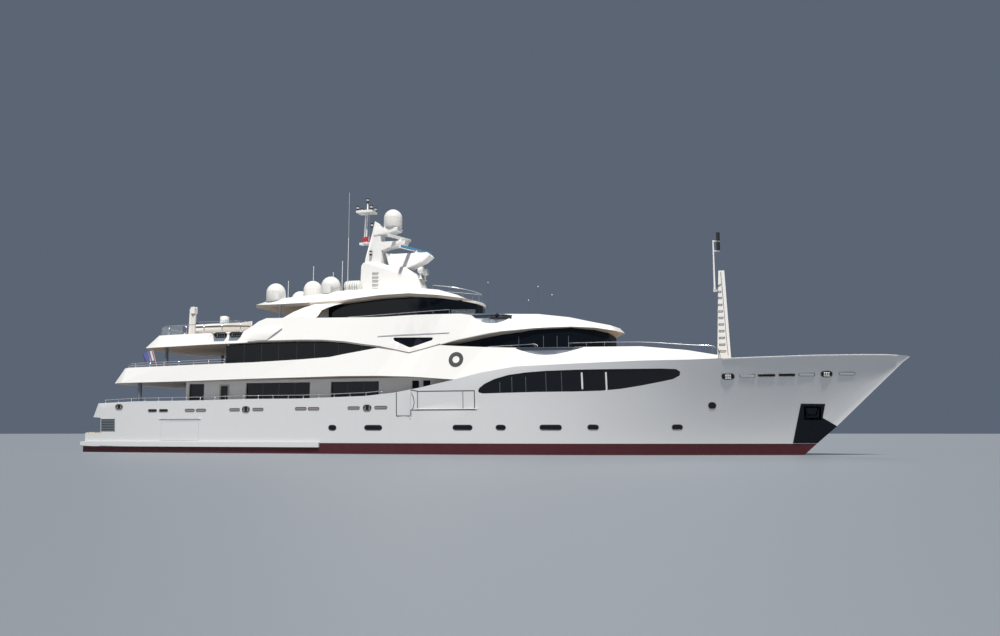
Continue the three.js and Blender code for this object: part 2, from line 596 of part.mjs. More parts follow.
// Bridge deck body: the overhanging belt above the upper deck, with the visor, the drooping V at
// the sides and the arch. Columns as in BAND.
const BODY = [
  [-25.48, 0.00, 7.87, -24.50, 0.00, 8.85],
  [-25.44, 1.50, 7.87, -24.46, 1.45, 8.85],
  [-25.33, 2.80, 7.88, -24.34, 2.65, 8.86],
  [-25.13, 3.75, 7.89, -24.15, 3.55, 8.87],
  [-24.80, 4.20, 7.91, -23.82, 3.95, 8.88],
  [-23.60, 4.38, 7.93, -22.90, 4.12, 8.88],
  [-21.90, 4.47, 7.96, -21.00, 4.20, 8.90],
  [-19.50, 4.52, 8.02, -19.20, 4.26, 8.92],
  [-16.50, 4.60, 8.06, -16.30, 4.33, 8.96],
  [-15.80, 4.62, 8.08, -15.70, 4.32, 9.28],
  [-15.20, 4.63, 8.09, -15.15, 4.30, 9.65],
  [-14.40, 4.64, 8.10, -14.50, 4.28, 9.89],
  [-11.50, 4.68, 8.09, -11.50, 4.30, 9.83],
  [-9.80, 4.70, 8.04, -9.80, 4.32, 9.76],
  [-8.00, 4.72, 7.87, -8.00, 4.34, 9.72],
  [-6.60, 4.73, 7.64, -6.60, 4.35, 9.69],
  [-5.40, 4.74, 7.48, -5.40, 4.35, 9.67],
  [-4.06, 4.74, 7.18 + GAP, -4.06, 4.35, 9.70],
  [-3.07, 4.72, 6.96 + GAP, -3.07, 4.33, 9.73],
  [-1.90, 4.66, 7.24 + GAP, -1.90, 4.30, 9.74],
  [-0.80, 4.60, 7.54, -0.80, 4.25, 9.74],
  [0.50, 4.52, 7.84, 0.50, 4.17, 9.73],
  [2.60, 4.38, 8.23, 2.60, 4.00, 9.68],
  [3.50, 4.30, 8.35, 3.50, 3.90, 9.64],
  [6.00, 4.00, 8.55, 5.95, 3.50, 9.60],
  [8.20, 3.50, 8.62, 8.00, 2.95, 9.38],
  [9.70, 2.80, 8.58, 9.45, 2.20, 9.10],
  [10.85, 1.60, 8.48, 10.55, 1.10, 8.96],
  [11.50, 0.00, 8.42, 11.10, 0.00, 8.84],
];
const CEILING = 7.95;
const SUN_WELL_END = 1.2;
const BOW_LOUNGE = { aft: 1.6, fore: 5.8, floor: 8.95 };
const SIDE_SCOOPS = [
  [[-18.95, 8.84], [-18.9, 8.5], [-18.78, 8.24], [-17.86, 8.24], [-17.7, 8.5], [-17.66, 8.84]],
  [[-17.56, 8.84], [-17.56, 8.24], [-16.72, 8.24], [-16.5, 8.5], [-16.4, 8.84]],
];
const ROOF_SCOOP = [[1.31, 9.6], [1.55, 9.38], [1.89, 9.19], [2.3, 9.03], [2.7, 8.97], [3.15, 9.0],
  [3.62, 9.14], [3.95, 9.32], [4.19, 9.54]];
const EYE_WINDOW = [[-4.31, 8.08], [-4.2, 7.9], [-3.12, 7.42], [-2.99, 7.4], [-2.84, 7.43],
  [-1.43, 7.88], [-1.36, 8.04], [-1.5, 8.08], [-4.2, 8.14]];
const EYE_DEPTH = 0.08;

// The visor's underside slopes down and inward from the body's lower edge to the wheelhouse glass.
const BROW = { aft: -0.8, full: 1.5, drop: 0.25, inward: 0.6 };
const BROW_ROOT = 0.85;
function brow() {
  const { aft, full, drop, inward } = BROW;
  const edge = lowEdge(BODY);
  const fore = edge.length - edge.filter(([x]) => x >= aft).length;
  const outer = edge.slice(fore).map(([x, y, z]) => [x, y, z + 0.05]);
  const inner = withHeights(inset(edge, inward), edge).slice(fore).map(([x, y, z]) =>
    [x, y, z - drop * Math.min((x - aft + inward) / (full - aft), 1)]);
  return layered([inner, outer]).intersect(block(aft, FAR, -FAR, FAR, 0, FAR));
}

function between(points, x0, x1) {
  const inside = points.filter(([x]) => x > x0 + 0.05 && x < x1 - 0.05);
  const table = points.map(([x, y]) => [x, y]);
  return [[x0, read(table, 1, x0)], ...inside.map(([x, y]) => [x, y]), [x1, read(table, 1, x1)]];
}

function bridgeBody() {
  const belt = layered([lowEdge(BODY), highEdge(BODY)]);
  const [low, high] = wellLevels(BODY, SUN_DECK - TEAK, BULWARK);
  const aftOfEnd = (points) => {
    const kept = points.filter(([x]) => x < SUN_WELL_END - 0.3);
    const y = read(points, 1, SUN_WELL_END);
    return [...kept, [SUN_WELL_END, y, read(points, 2, SUN_WELL_END)]];
  };
  const sunWell = layered([aftOfEnd(low), aftOfEnd(high)]);
  const lounge = plate(between(inset(highEdge(BODY), 0.35), BOW_LOUNGE.aft, BOW_LOUNGE.fore),
    BOW_LOUNGE.floor, 10);
  const under = join(plate(between(inset(lowEdge(BODY), BULWARK), -24.3, BROW.aft), 6, CEILING),
    plate(between(inset(lowEdge(BODY), BROW_ROOT), BROW.aft - 0.1, 2.2), 6, CEILING));
  const dishes = [...SIDE_SCOOPS, ROOF_SCOOP].map((outline) => dished(BODY, outline, DISH));
  const posts = [-1, 1].map((side) => rod(
    [UPPER_POST.x, side * UPPER_POST.y, UPPER_DECK - TEAK + GAP],
    [UPPER_POST.x, side * UPPER_POST.y, 8.1], UPPER_POST.radius));
  return join(cut(join(belt, brow()), sunWell, lounge, under, dished(BODY, EYE_WINDOW, EYE_DEPTH),
    ...dishes), ...posts);
}

// Deckhouses: walls of one thickness round a room, with their windows cut between mullions.
const MAIN_HOUSE = [[-21.3, 3.9], [WELL_FORE - GAP, 3.9]];
const UPPER_HOUSE = [[-18, 3.9], [2, 3.9], [6, 3.75], [8.2, 3.3], [9.6, 2.5], [10.5, 1.4], [10.8, 0]];
const SUN_HOUSE = [[-10.2, 2.8], [-1.2, 2.8], [0, 2.35], [0.7, 1.3], [0.9, 0]];
const mullionsAt = (xs, z0, z1) => xs.map((x) => block(x - 0.05, x + 0.05, -FAR, FAR, z0, z1));

// Windows on both sides between two stations, with upright mullions left standing.
function sideWindows(x0, x1, z0, z1, mullions) {
  return cut(block(x0, x1, -FAR, FAR, z0, z1), ...mullionsAt(mullions, z0 - 1, z1 + 1));
}

function walls(outline, z0, z1) {
  return cut(plate(outline, z0, z1), plate(inset(outline, WALL), z0 - 1, z1 + 1));
}

const SALOON_DOOR = { half: 1.25, low: 2.85, high: 5.0 };
const SLIDE = { leaf: 0.06, travel: 1.15 };
// Main deck's side windows: aft end, fore end, sill.
const SIDE_WINDOWS = [
  [-21.05, -19.75, 3.0], [-16.24, -11.02, 3.7], [-9.36, -5.63, 3.7], [-3.12, -2.6, 3.7], [-2.3, -1.75, 3.7],
];
const WINDOW_HEAD = 5.12;

function mainDeckhouse(band) {
  const windows = SIDE_WINDOWS.map(([x0, x1, sill]) => sideWindows(x0, x1, sill, WINDOW_HEAD, []));
  const { half, low, high } = SALOON_DOOR;
  const aft = MAIN_HOUSE[0][0];
  const doorway = block(aft - 0.5, aft + 0.5, -half + 0.05, half - 0.05, low - 0.05, high - 0.05);
  const x = aft + WALL;
  const track = block(x - 0.02, x + 0.12, -3.2, 3.2, high + GAP, high + 0.08);
  const tall = join(walls(MAIN_HOUSE, MAIN_DECK + GAP, UPPER_DECK - TEAK - 0.02), track);
  return hungUnder(cut(tall, doorway, ...windows), band);
}

// One leaf of the saloon's sliding doors, inside the aft wall.
function saloonDoor(port) {
  const x = MAIN_HOUSE[0][0] + WALL + 0.03;
  const { half, low, high } = SALOON_DOOR;
  const [y0, y1] = port ? [0.008, half] : [-half, -0.008];
  return block(x, x + SLIDE.leaf, y0, y1, low - 0.07, high);
}

// Glass all round a house, inside its walls or bonded on their outer faces.
const INSIDE = WALL + GAP;
const OUTSIDE = -GAP - PANE;
function paneRing(outline, depth, z0, z1) {
  return cut(plate(inset(outline, depth), z0, z1), plate(inset(outline, depth + PANE), z0 - 1, z1 + 1));
}

// The stretch of it along one side, between two stations.
function sidePane(ring, x0, x1, port) {
  const [y0, y1] = port ? [0.5, FAR] : [-FAR, -0.5];
  return ring.intersect(block(x0, x1, y0, y1, 0, FAR));
}

const BRIDGE_WINDOW = { aft: -0.5, low: 6.6, high: 8.1 };
const BRIDGE_MULLIONS = [1.4, 3.4, 5.4, 7.3];

function upperDeckhouse(body) {
  const tall = join(plate(UPPER_HOUSE, UPPER_DECK + GAP, SUN_DECK - TEAK - 0.1),
    plate(UPPER_HOUSE.slice(1), 8, 8.63));
  const room = plate(inset(UPPER_HOUSE, WALL), 5, 9);
  const aftWindows = sideWindows(-17.5, -6.0, 5.95, 7.8, [-15.2, -12.9, -10.6, -8.3]);
  const { aft, low, high } = BRIDGE_WINDOW;
  const posts = [...mullionsAt(BRIDGE_MULLIONS, low - 1, high + 1),
    ...[-1.6, -0.55, 0.55, 1.6].map((y) => block(8.4, 12, y - 0.05, y + 0.05, low - 1, high + 1))];
  const bridge = cut(block(aft, 12, -FAR, FAR, low, high), ...posts);
  const doorway = block(-18.5, -17.5, -1.2, 1.2, 5.5, 7.7);
  return hungUnder(cut(tall, room, aftWindows, bridge, doorway), body);
}

function bridgeGlass(body) {
  const { aft, low, high } = BRIDGE_WINDOW;
  const ring = cut(paneRing(UPPER_HOUSE, OUTSIDE, low - 0.1, high + 0.6),
    block(-FAR, aft, -FAR, FAR, 0, FAR),
    block(-FAR, SUN_WELL_END + 0.2, -FAR, FAR, SUN_DECK - 0.2, FAR));
  return hungUnder(ring, body);
}

// Hardtop with its swept legs. Columns: x, half-breadth, height of the underside, height of the
// crown above it.
const HARDTOP = [
  [-17.45, 0.00, 11.28, 11.50], [-17.30, 0.90, 11.22, 11.52], [-16.80, 1.90, 11.08, 11.58],
  [-15.90, 2.70, 10.95, 11.63], [-14.00, 3.15, 10.88, 11.68], [-11.50, 3.35, 10.88, 11.80],
  [-9.00, 3.45, 10.93, 12.00], [-7.40, 3.50, 11.06, 12.00], [-5.80, 3.50, 11.20, 12.00],
  [-3.60, 3.45, 11.25, 12.00], [-1.50, 3.15, 11.09, 11.80], [0.10, 2.40, 10.90, 11.45],
  [0.80, 1.35, 10.82, 11.24], [1.05, 0.00, 10.80, 11.18],
];
const EDGE = 0.2;
// Swept blades that carry it, seen from the side, and how they lean in from the bulwark's cap.
const LEG = [[-13.45, 9.75], [-10.7, 9.68], [-10.45, 9.95], [-10.33, 10.4], [-10.0, 10.58],
  [-9.5, 10.76], [-9.02, 10.88], [-8.36, 11.0], [-9.0, 11.15], [-11.0, 11.1], [-11.24, 10.88],
  [-11.9, 10.68], [-12.6, 10.35]];
const LEG_LEAN = { thick: 0.16, foot: 4.02, head: 3.12, low: 9.75, high: 11.0 };
function hardtop(body) {
  const crown = inset(HARDTOP, 0.85);
  const roof = layered([
    HARDTOP.map(([x, y, z]) => [x, y * 0.97, z]),
    HARDTOP.map(([x, y, z]) => [x, y, z + EDGE]),
    HARDTOP.map(([, , , z], i) => [crown[i][0], crown[i][1], z]),
  ]);
  const { thick, foot, head, low, high } = LEG_LEAN;
  const slope = (head - foot) / (high - low);
  const lean = new THREE.Matrix4().set(
    1, 0, 0, 0, 0, 1, slope, foot - slope * low, 0, 0, 1, 0, 0, 0, 0, 1);
  const leg = cleared(solid(geometryOf(sideways(LEG, 0, thick)).applyMatrix4(lean)), body);
  return join(roof, leg, mirrored(leg));
}

// Sun deck house under the hardtop: its walls and glass end a little way up the hardtop's edge.
function underTop(piece, top) {
  const line = HARDTOP.map(([x, , z]) => [x, z + EDGE / 2]);
  const above = sideways([[-FAR, 11], ...line, [FAR, 11], [FAR, FAR], [-FAR, FAR]], -FAR, FAR);
  return hungUnder(cut(piece, above), top);
}

function sunDeckhouse(top) {
  const tall = cut(plate(SUN_HOUSE, SUN_DECK + GAP, 12), plate(inset(SUN_HOUSE, WALL), 8, 13));
  const windows = cut(block(-9.9, 2, -FAR, FAR, 9.25, 10.72),
    ...mullionsAt([-7.6, -5.4, -3.2, -1.1], 9, 11),
    ...[-0.8, 0.8].map((y) => block(-1, 2, y - 0.05, y + 0.05, 9, 11)));
  const doorway = block(-10.6, -10, -1.2, 1.2, 8.5, 10.6);
  return underTop(cut(tall, windows, doorway), top);
}

function sunDeckGlass(top) {
  const ring = paneRing(SUN_HOUSE, OUTSIDE, 9.15, 12);
  return underTop(cut(ring, block(-FAR, -10.19, -FAR, FAR, -FAR, FAR)), top);
}

// A leaning post with a flat foot and head: [[x0, y0], [x1, y1], z] for each, on one side.
function eightCorners(foot, head, side) {
  const ring = ([[x0, y0], [x1, y1], z]) =>
    [[x0, y0], [x1, y0], [x1, y1], [x0, y1]].map(([x, y]) => [x, side * y, z]);
  const [low, high] = [ring(foot), ring(head)];
  const triangles = [[low[0], low[2], low[1]], [low[0], low[3], low[2]],
    [high[0], high[1], high[2]], [high[0], high[2], high[3]]];
  for (let i = 0; i < 4; i += 1) {
    const j = (i + 1) % 4;
    triangles.push([low[i], low[j], high[j]], [low[i], high[j], high[i]]);
  }
  return triangles;
}

// Mast: a fin on the hardtop, a tower, and three arms that carry the radome and the radars.
const LOW_RADAR = { x: -4.4, seat: 15.0, z: 15.18, length: 3.7 };
const HIGH_RADAR = { x: -5.75, seat: 16.05, z: 16.2, length: 2.55 };
const RADOME = { x: -6.3, seat: 17.1, radius: 0.72, height: 1.51 };
function mast(top) {
  const fin = sideways([[-8.65, 11.4], [-3.3, 11.4], [-3.9, 12.96], [-4.3, 13.43], [-4.95, 13.9],
    [-6.3, 14.1], [-6.9, 14.3], [-8.4, 14.4], [-8.56, 14.14]], -0.75, 0.75);
  const tower = sideways([[-8.5, 13.9], [-7.0, 13.9], [-7.15, 16.9], [-7.25, 17.3], [-7.6, 17.67],
    [-7.8, 16.78], [-8.3, 14.91]], -0.5, 0.5);
  const lowArm = sideways([[-6.3, 13.9], [-4.9, 13.8], [-3.6, 14.35], [-3.1, 14.75], [-3.3, 15.0],
    [-6.0, 15.0], [-6.66, 15.1]], -0.55, 0.55);
  const highArm = sideways([[-7.3, 15.3], [-6.6, 15.52], [-5.2, 15.75], [-5.1, 16.05], [-7.4, 16.05]],
    -0.4, 0.4);
  const topArm = sideways([[-7.7, 16.55], [-6.6, 16.62], [-5.75, 16.9], [-5.7, RADOME.seat],
    [-7.4, RADOME.seat]], -0.55, 0.55);
  const pedestals = [LOW_RADAR, HIGH_RADAR].map(({ x, seat, z }) =>
    rod([x, 0, seat - 0.1], [x, 0, z - GAP], 0.22, 0.16, 14));
  return seated(join(fin, tower, lowArm, highArm, topArm, ...pedestals), top);
}

// A radar scanner: a long bar on its turning head, standing as in the picture.
function scanner({ x, z, length }, heading) {
  const bar = new THREE.BoxGeometry(length, 0.22, 0.2).translate(0, 0, 0.14).rotateZ(heading);
  const head = rod([x, 0, z], [x, 0, z + 0.1], 0.16, 0.16, 14);
  return join(head, solid(bar.translate(x, 0, z)));
}

function dome(x, y, z, radius, height, carrier) {
  const shoulder = height - radius;
  const profile = [[0, z - 0.28], [radius * 0.7, z - 0.28], [radius * 0.7, z], [radius, z + 0.12]];
  for (let k = 0; k <= 5; k += 1) {
    const angle = (k / 5) * Math.PI / 2;
    profile.push([radius * Math.cos(angle), z + shoulder + radius * Math.sin(angle)]);
  }
  profile[profile.length - 1][0] = 0;
  const whole = turned(x, y, profile, 18);
  return carrier ? seated(whole, carrier) : cut(whole, block(x - 2, x + 2, y - 2, y + 2, z - 1, z + GAP));
}

// Satellite domes on the hardtop: x, y, height of the foot.
const DOMES = [[-15.05, -2.0, 11.42], [-15.05, 2.0, 11.42], [-12.95, 0, 11.85],
  [-10.45, -2.0, 11.75], [-10.45, 2.0, 11.75]];

// Signal mast behind the tower, with its cross-trees.
function signalMast() {
  const bracket = block(-9.0, -7.2, -0.2, 0.2, 15.95, 16.12);
  const tubes = [-0.18, 0.18].map((y) => rod([-8.6, y, 16.05], [-8.5, y, 18.5], 0.06, 0.05, 8));
  const tree = block(-9.2, -7.85, -0.5, 0.5, 18.45, 18.62);
  const pole = rod([-8.45, 0, 18.5], [-8.45, 0, 19.7], 0.06, 0.04, 8);
  return join(bracket, ...tubes, tree, pole);
}

// Foremast on the foredeck: a tapered ladder tower, with a side pole that carries a lamp on each arm.
const FOREMAST = { x: 18.25, foot: UPPER_DECK + GAP, head: 12.65, step: 11.2 };
const LAMP_POLE = { back: 0.52, reach: 0.34, head: 14.85, arms: [14.05, 14.75], lamp: 0.13, lampHigh: 0.64 };
function foremast() {
  const { x, foot, head, step } = FOREMAST;
  const { back, reach, head: poleHead, arms, lamp, lampHigh } = LAMP_POLE;
  const parts = [
    fromTriangles(eightCorners(
      [[x - 0.5, -0.35], [x + 0.5, 0.35], foot], [[x - 0.22, -0.2], [x + 0.18, 0.2], head], 1)),
    rod([x - back, 0, step], [x - back, 0, poleHead], 0.07, 0.05, 8),
    block(x - back - 0.08, x - 0.1, -0.12, 0.12, step, step + 0.2),
  ];
  const lampX = x - back + reach;
  for (const z of arms) {
    parts.push(block(x - back, lampX + 0.1, -0.06, 0.06, z, z + 0.06),
      rod([lampX, 0, z + 0.04], [lampX, 0, z + lampHigh], lamp, lamp, 10));
  }
  return join(...parts);
}

// Deck crane: a slewing post with the jib pinned at its head and folded down along it.
const CRANE = { x: -22.76, y: -1.45, foot: SUN_DECK + GAP, head: 11.25, jib: 2.25 };
const JIB_PIN = { out: 0.29, radius: 0.1, half: 0.12 };
const LUG = { thick: 0.07, aft: 0.03, fore: 0.4, low: 0.4, high: 0.13 };
function cranePost() {
  const { x, y, foot, head } = CRANE;
  const lug = (inner) => block(x + LUG.aft, x + LUG.fore, inner, inner + LUG.thick,
    head - LUG.low, head + LUG.high);
  return join(rod([x, y, foot], [x, y, foot + 0.3], 0.36, 0.28, 16),
    rod([x, y, foot + 0.2], [x, y, head], 0.2, 0.15, 16),
    lug(y + JIB_PIN.half), lug(y - JIB_PIN.half - LUG.thick));
}
function craneJib() {
  const { x, y, head, jib } = CRANE;
  const { out, radius } = JIB_PIN;
  const half = JIB_PIN.half - GAP;
  return join(rod([x + out, y - half, head], [x + out, y + half, head], radius, radius, 14),
    block(x + 0.24, x + 0.38, y - 0.09, y + 0.09, head - jib, head));
}

// Tender on the sun deck, on its chocks. Columns: place along it, half-breadth, rise of the keel.
const TENDER = { x: -21.4, y: 1.15, keel: 0.4 };
const TENDER_ROWS = [
  [-2.5, 0.8, 0.12], [-1.5, 0.93, 0.05], [0, 0.95, 0.0], [1.2, 0.85, 0.05], [2.0, 0.5, 0.25],
  [2.5, 0.05, 0.6],
];
// Levels of its hull: height, part of the half-breadth, part of the keel's rise.
const TENDER_LEVELS = [[0, 0.25, 1], [0.45, 0.8, 0.8], [0.85, 1, 0.5], [1.4, 0.96, 0.4]];
function tender() {
  const shell = layered(TENDER_LEVELS.map(([z, breadth, lift]) =>
    TENDER_ROWS.map(([x, half, rise]) => [x, half * breadth, z + rise * lift])));
  const helm = block(-0.24, 0.22, -0.3, 0.3, 1.3, 2.1);
  const chocks = [-1.4, 1.0].map((x) => block(x - 0.12, x + 0.12, -0.6, 0.6, GAP - TENDER.keel, 0.3));
  return moved(join(shell, helm, ...chocks), TENDER.x, TENDER.y, SUN_DECK + TENDER.keel);
}

const yacht = new THREE.Group();
function add(name, manifold, material) {
  const mesh = new THREE.Mesh(geometryOf(manifold), material);
  mesh.name = name;
  yacht.add(mesh);
}

const doorParts = [];
for (const row of SIDE_DOORS) {
  for (const port of [true, false]) {
    doorParts.push({ name: `${row[0]}_${port ? 'port' : 'starboard'}`, ...sideDoor(row, port) });
  }
}
doorParts.push({ name: 'transom_door', ...transomDoor() });

const windowHoles = [true, false].map((port) => sidePatch(HULL_WINDOW, port, 1, -WINDOW_POCKET));
const anchorHoles = [true, false].map((port) => {
  const { aft, fore, low, high, depth } = ANCHOR_POCKET;
  return sidePatch(rectangle(aft, fore, low, high), port, 1, -depth);
});
const garage = block(GARAGE.aft, GARAGE.fore, -4.9, 4.9, GARAGE.low, GARAGE.high);

const topsides = join(
  hullTopsides([...doorParts.map((part) => part.hole), ...windowHoles, ...anchorHoles, garage]),
  ...doorParts.flatMap((part) => part.seats));
const bottom = hullBottom();
add('hull_topsides', topsides, WHITE());
add('hull_bottom', bottom, RED());
add('rub_rail', rubRail(), WHITE());
for (const part of doorParts) {
  add(part.name, part.leaf, WHITE());
}
for (const port of [true, false]) {
  const side = port ? 'port' : 'starboard';
  add(`hull_window_${side}`, sidePatch(drawnIn(HULL_WINDOW, GAP), port, -0.04, -WINDOW_POCKET + GAP), GLASS());
  add(`stem_plate_${side}`, cut(stemPlate(port), ...anchorHoles), STEEL());
  add(`anchor_${side}`, anchor(port), STEEL());
}

const bothSides = (name, shape, material) => {
  add(`${name}_port`, shape, material());
  add(`${name}_starboard`, mirrored(shape), material());
};
bothSides('propeller_shaft', shaftLine(bottom), STEEL);
bothSides('propeller', propeller(), BRONZE);
bothSides('rudder', rudder(), RED);
bothSides('stabiliser_fin', fin(), RED);

const band = upperDeckBand();
const body = bridgeBody();
const top = hardtop(body);
add('upper_deck_band', band, WHITE());
add('bridge_deck_body', body, WHITE());
add('hardtop', top, WHITE());
add('main_deckhouse', mainDeckhouse(band), WHITE());
add('upper_deckhouse', upperDeckhouse(body), WHITE());
add('sun_deckhouse', sunDeckhouse(top), WHITE());
const mainGlass = paneRing(MAIN_HOUSE, INSIDE, 2.95, 5.2);
const upperGlass = hungUnder(paneRing(UPPER_HOUSE, OUTSIDE, 5.7, 8.2), body);
for (const port of [true, false]) {
  const side = port ? 'port' : 'starboard';
  add(`main_windows_${side}`, sidePane(mainGlass, MAIN_HOUSE[0][0] + WALL + 0.05, -1.5, port), GLASS());
  add(`upper_windows_${side}`, sidePane(upperGlass, -17.75, -5.5, port), GLASS());
  add(`saloon_door_${side}`, saloonDoor(port), GLASS());
}
add('bridge_windows', bridgeGlass(body), GLASS());
add('sun_deck_windows', sunDeckGlass(top), GLASS());

// Teak decks, each a plate laid in its well inside a narrow waterway.
const WATERWAY = 0.04;
const teak = (half, z) => plate(inset(half, WATERWAY), z - TEAK + GAP, z);
const platformXs = [PLATFORM_AFT, -28.9, TRANSOM_X];
const platformHalf = (x) => hullHalf(x, PLATFORM) - 0.12;
add('platform_teak', teak(halfAlong(platformXs, platformHalf), PLATFORM), DECKING());
// Holes in a teak deck for a pair of posts.
const postHoles = ({ x, y, radius }, z) => [-1, 1].map((side) =>
  rod([x, side * y, z - 0.5], [x, side * y, z + 0.5], radius + GAP));
add('main_deck_teak', cut(teak(MAIN_OUTLINE, MAIN_DECK), ...postHoles(MAIN_POST, MAIN_DECK)), DECKING());

const upperFloor = wellLevels(BAND, UPPER_DECK, BULWARK)[0].filter(([x]) => x < 1.5);
const upperOutline = [...upperFloor.map(([x, y]) => [x, y]),
  ...halfAlong(stationsBetween(2.39, FORE_WELL_END), (x) => hullHalf(x, UPPER_DECK - TEAK) - BULWARK)];
const upperTeak = cut(teak(upperOutline, UPPER_DECK), ...postHoles(UPPER_POST, UPPER_DECK));
add('upper_deck_teak', upperTeak, DECKING());
const sunFloor = wellLevels(BODY, SUN_DECK, BULWARK)[0].filter(([x]) => x < SUN_WELL_END - 0.3);
const sunOutline = [...sunFloor.map(([x, y]) => [x, y]), [SUN_WELL_END, sunFloor[sunFloor.length - 1][1] - 0.06]];
add('sun_deck_teak', teak(sunOutline, SUN_DECK), DECKING());

const tower = mast(top);
add('mast', tower, WHITE());
add('signal_mast', cut(signalMast(), moved(tower, -GAP, 0, 0)), WHITE());
add('radar_low', scanner(LOW_RADAR, 1.22), WHITE());
add('radar_high', scanner(HIGH_RADAR, 1.25), WHITE());
add('mast_radome', dome(RADOME.x, 0, RADOME.seat, RADOME.radius, RADOME.height, null), WHITE());
DOMES.forEach(([x, y, z], i) => add(`satellite_dome_${i + 1}`, dome(x, y, z, 0.73, 1.45, top), WHITE()));
add('foremast', foremast(), WHITE());
add('crane_post', cranePost(), WHITE());
add('crane_jib', craneJib(), WHITE());
add('tender', tender(), WHITE());

yacht.scale.setScalar(MODEL_SCALE * MM_PER_METRE);
export default yacht;
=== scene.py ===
import json
import math

import bmesh
import bpy
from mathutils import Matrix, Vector
from mathutils.bvhtree import BVHTree


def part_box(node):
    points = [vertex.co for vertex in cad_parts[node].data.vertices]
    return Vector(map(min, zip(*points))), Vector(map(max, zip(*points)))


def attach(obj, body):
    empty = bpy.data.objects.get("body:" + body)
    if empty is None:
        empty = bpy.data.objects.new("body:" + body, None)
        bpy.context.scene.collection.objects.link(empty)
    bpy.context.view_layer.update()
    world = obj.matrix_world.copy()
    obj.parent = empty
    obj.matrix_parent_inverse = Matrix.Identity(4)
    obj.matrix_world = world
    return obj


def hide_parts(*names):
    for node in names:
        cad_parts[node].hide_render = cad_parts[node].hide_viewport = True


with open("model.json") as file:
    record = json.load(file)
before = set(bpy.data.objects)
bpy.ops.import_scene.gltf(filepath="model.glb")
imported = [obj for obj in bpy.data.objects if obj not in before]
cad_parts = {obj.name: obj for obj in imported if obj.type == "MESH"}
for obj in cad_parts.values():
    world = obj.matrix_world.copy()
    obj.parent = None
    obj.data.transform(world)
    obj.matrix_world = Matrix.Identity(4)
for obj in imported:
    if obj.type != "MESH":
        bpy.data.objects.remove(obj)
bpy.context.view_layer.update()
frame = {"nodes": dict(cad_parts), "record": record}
nodes = frame["nodes"]


# Camera, low over the water off the starboard bow, as the photograph was taken.
# Places are the real yacht's metres, brought to the 1:2 model by MODEL.
MODEL = 0.5
EYE = (19.33, -63.70, 1.52)
TURN = 15.0
PITCH = 7.219
LENS = 32.4
SENSOR = 36.0
FAR_PLANE = 2000.0
SIDES = (("port", 1), ("starboard", -1))


def at(x, y, z):
    """A place on the real yacht, as a point of the model."""
    return Vector((x, y, z)) * MODEL


camera = bpy.data.objects.new("camera", bpy.data.cameras.new("camera"))
camera.data.sensor_width = SENSOR
camera.data.lens = LENS
camera.data.clip_end = FAR_PLANE
camera.location = at(*EYE)
camera.rotation_euler = (math.radians(90 + PITCH), 0.0, math.radians(TURN))
bpy.context.scene.collection.objects.link(camera)
bpy.context.scene.camera = camera


# Studio: a pale floor at the waterline, a slate backdrop and soft light from above the camera.
# The high key light throws the overhangs' shadows down the houses, as the sun does.
FLOOR_RADIUS = 420.0
FLOOR_GREY = (0.235, 0.258, 0.29)
BACKDROP_SLATE = (0.105, 0.130, 0.175, 1.0)
SUNLIGHT = (1.0, 0.97, 0.92)
WHITE = (1.0, 1.0, 1.0)
SUNS = (
    {"name": "key", "strength": 4.3, "soft": 3.0, "azimuth": 22.0, "elevation": 61.0, "colour": SUNLIGHT},
    {"name": "fill", "strength": 0.50, "soft": 60.0, "azimuth": -50.0, "elevation": 14.0, "colour": WHITE},
    {"name": "back", "strength": 0.3, "soft": 40.0, "azimuth": 190.0, "elevation": 40.0, "colour": WHITE},
)


def new_material(name, colour, roughness, metallic=0.0, **sockets):
    """A material, its node tree and its shader, with the shader's own sockets set."""
    material = bpy.data.materials.new(name)
    material.use_nodes = True
    material.diffuse_color = (*colour, 1.0)
    shader = material.node_tree.nodes["Principled BSDF"]
    shader.inputs["Base Color"].default_value = (*colour, 1.0)
    shader.inputs["Roughness"].default_value = roughness
    shader.inputs["Metallic"].default_value = metallic
    for key, value in sockets.items():
        shader.inputs[key.replace("_", " ")].default_value = value
    return material, material.node_tree, shader


bpy.ops.mesh.primitive_circle_add(vertices=128, radius=FLOOR_RADIUS, fill_type="NGON")
floor = bpy.context.object
floor.name = "studio_floor"
floor.data.materials.append(new_material("studio_floor", FLOOR_GREY, 0.5)[0])

world = bpy.data.worlds.new("studio")
bpy.context.scene.world = world
world.use_nodes = True
world.node_tree.nodes["Background"].inputs["Color"].default_value = BACKDROP_SLATE
world.node_tree.nodes["Background"].inputs["Strength"].default_value = 1.0
bpy.context.scene.view_settings.view_transform = "Standard"

for sun in SUNS:
    light = bpy.data.lights.new(sun["name"], "SUN")
    light.energy = sun["strength"]
    light.angle = math.radians(sun["soft"])
    light.color = sun["colour"]
    lamp = bpy.data.objects.new(sun["name"], light)
    lamp.rotation_euler = (math.radians(90 - sun["elevation"]), 0.0, math.radians(sun["azimuth"]))
    bpy.context.scene.collection.objects.link(lamp)


# Hull: welded steel plates, faired with filler and sprayed. It is two-pack gloss white with faint rain
# streaks and salt above, and matt crimson antifouling with a band of slime below the waterline. The
# crimson is darkened as painted shade for the shadow along the waterline.
def node_of(tree, kind, inputs=None, **settings):
    """A new node, each of its inputs linked to a socket or set to a value."""
    made = tree.nodes.new(kind)
    for key, value in settings.items():
        setattr(made, key, value)
    for key, value in (inputs or {}).items():
        if isinstance(value, bpy.types.NodeSocket):
            tree.links.new(value, made.inputs[key])
        else:
            made.inputs[key].default_value = value
    return made


def feed(tree, target, **sockets):
    """Links sockets to the inputs of a node, by name."""
    for key, socket in sockets.items():
        tree.links.new(socket, target.inputs[key.replace("_", " ")])


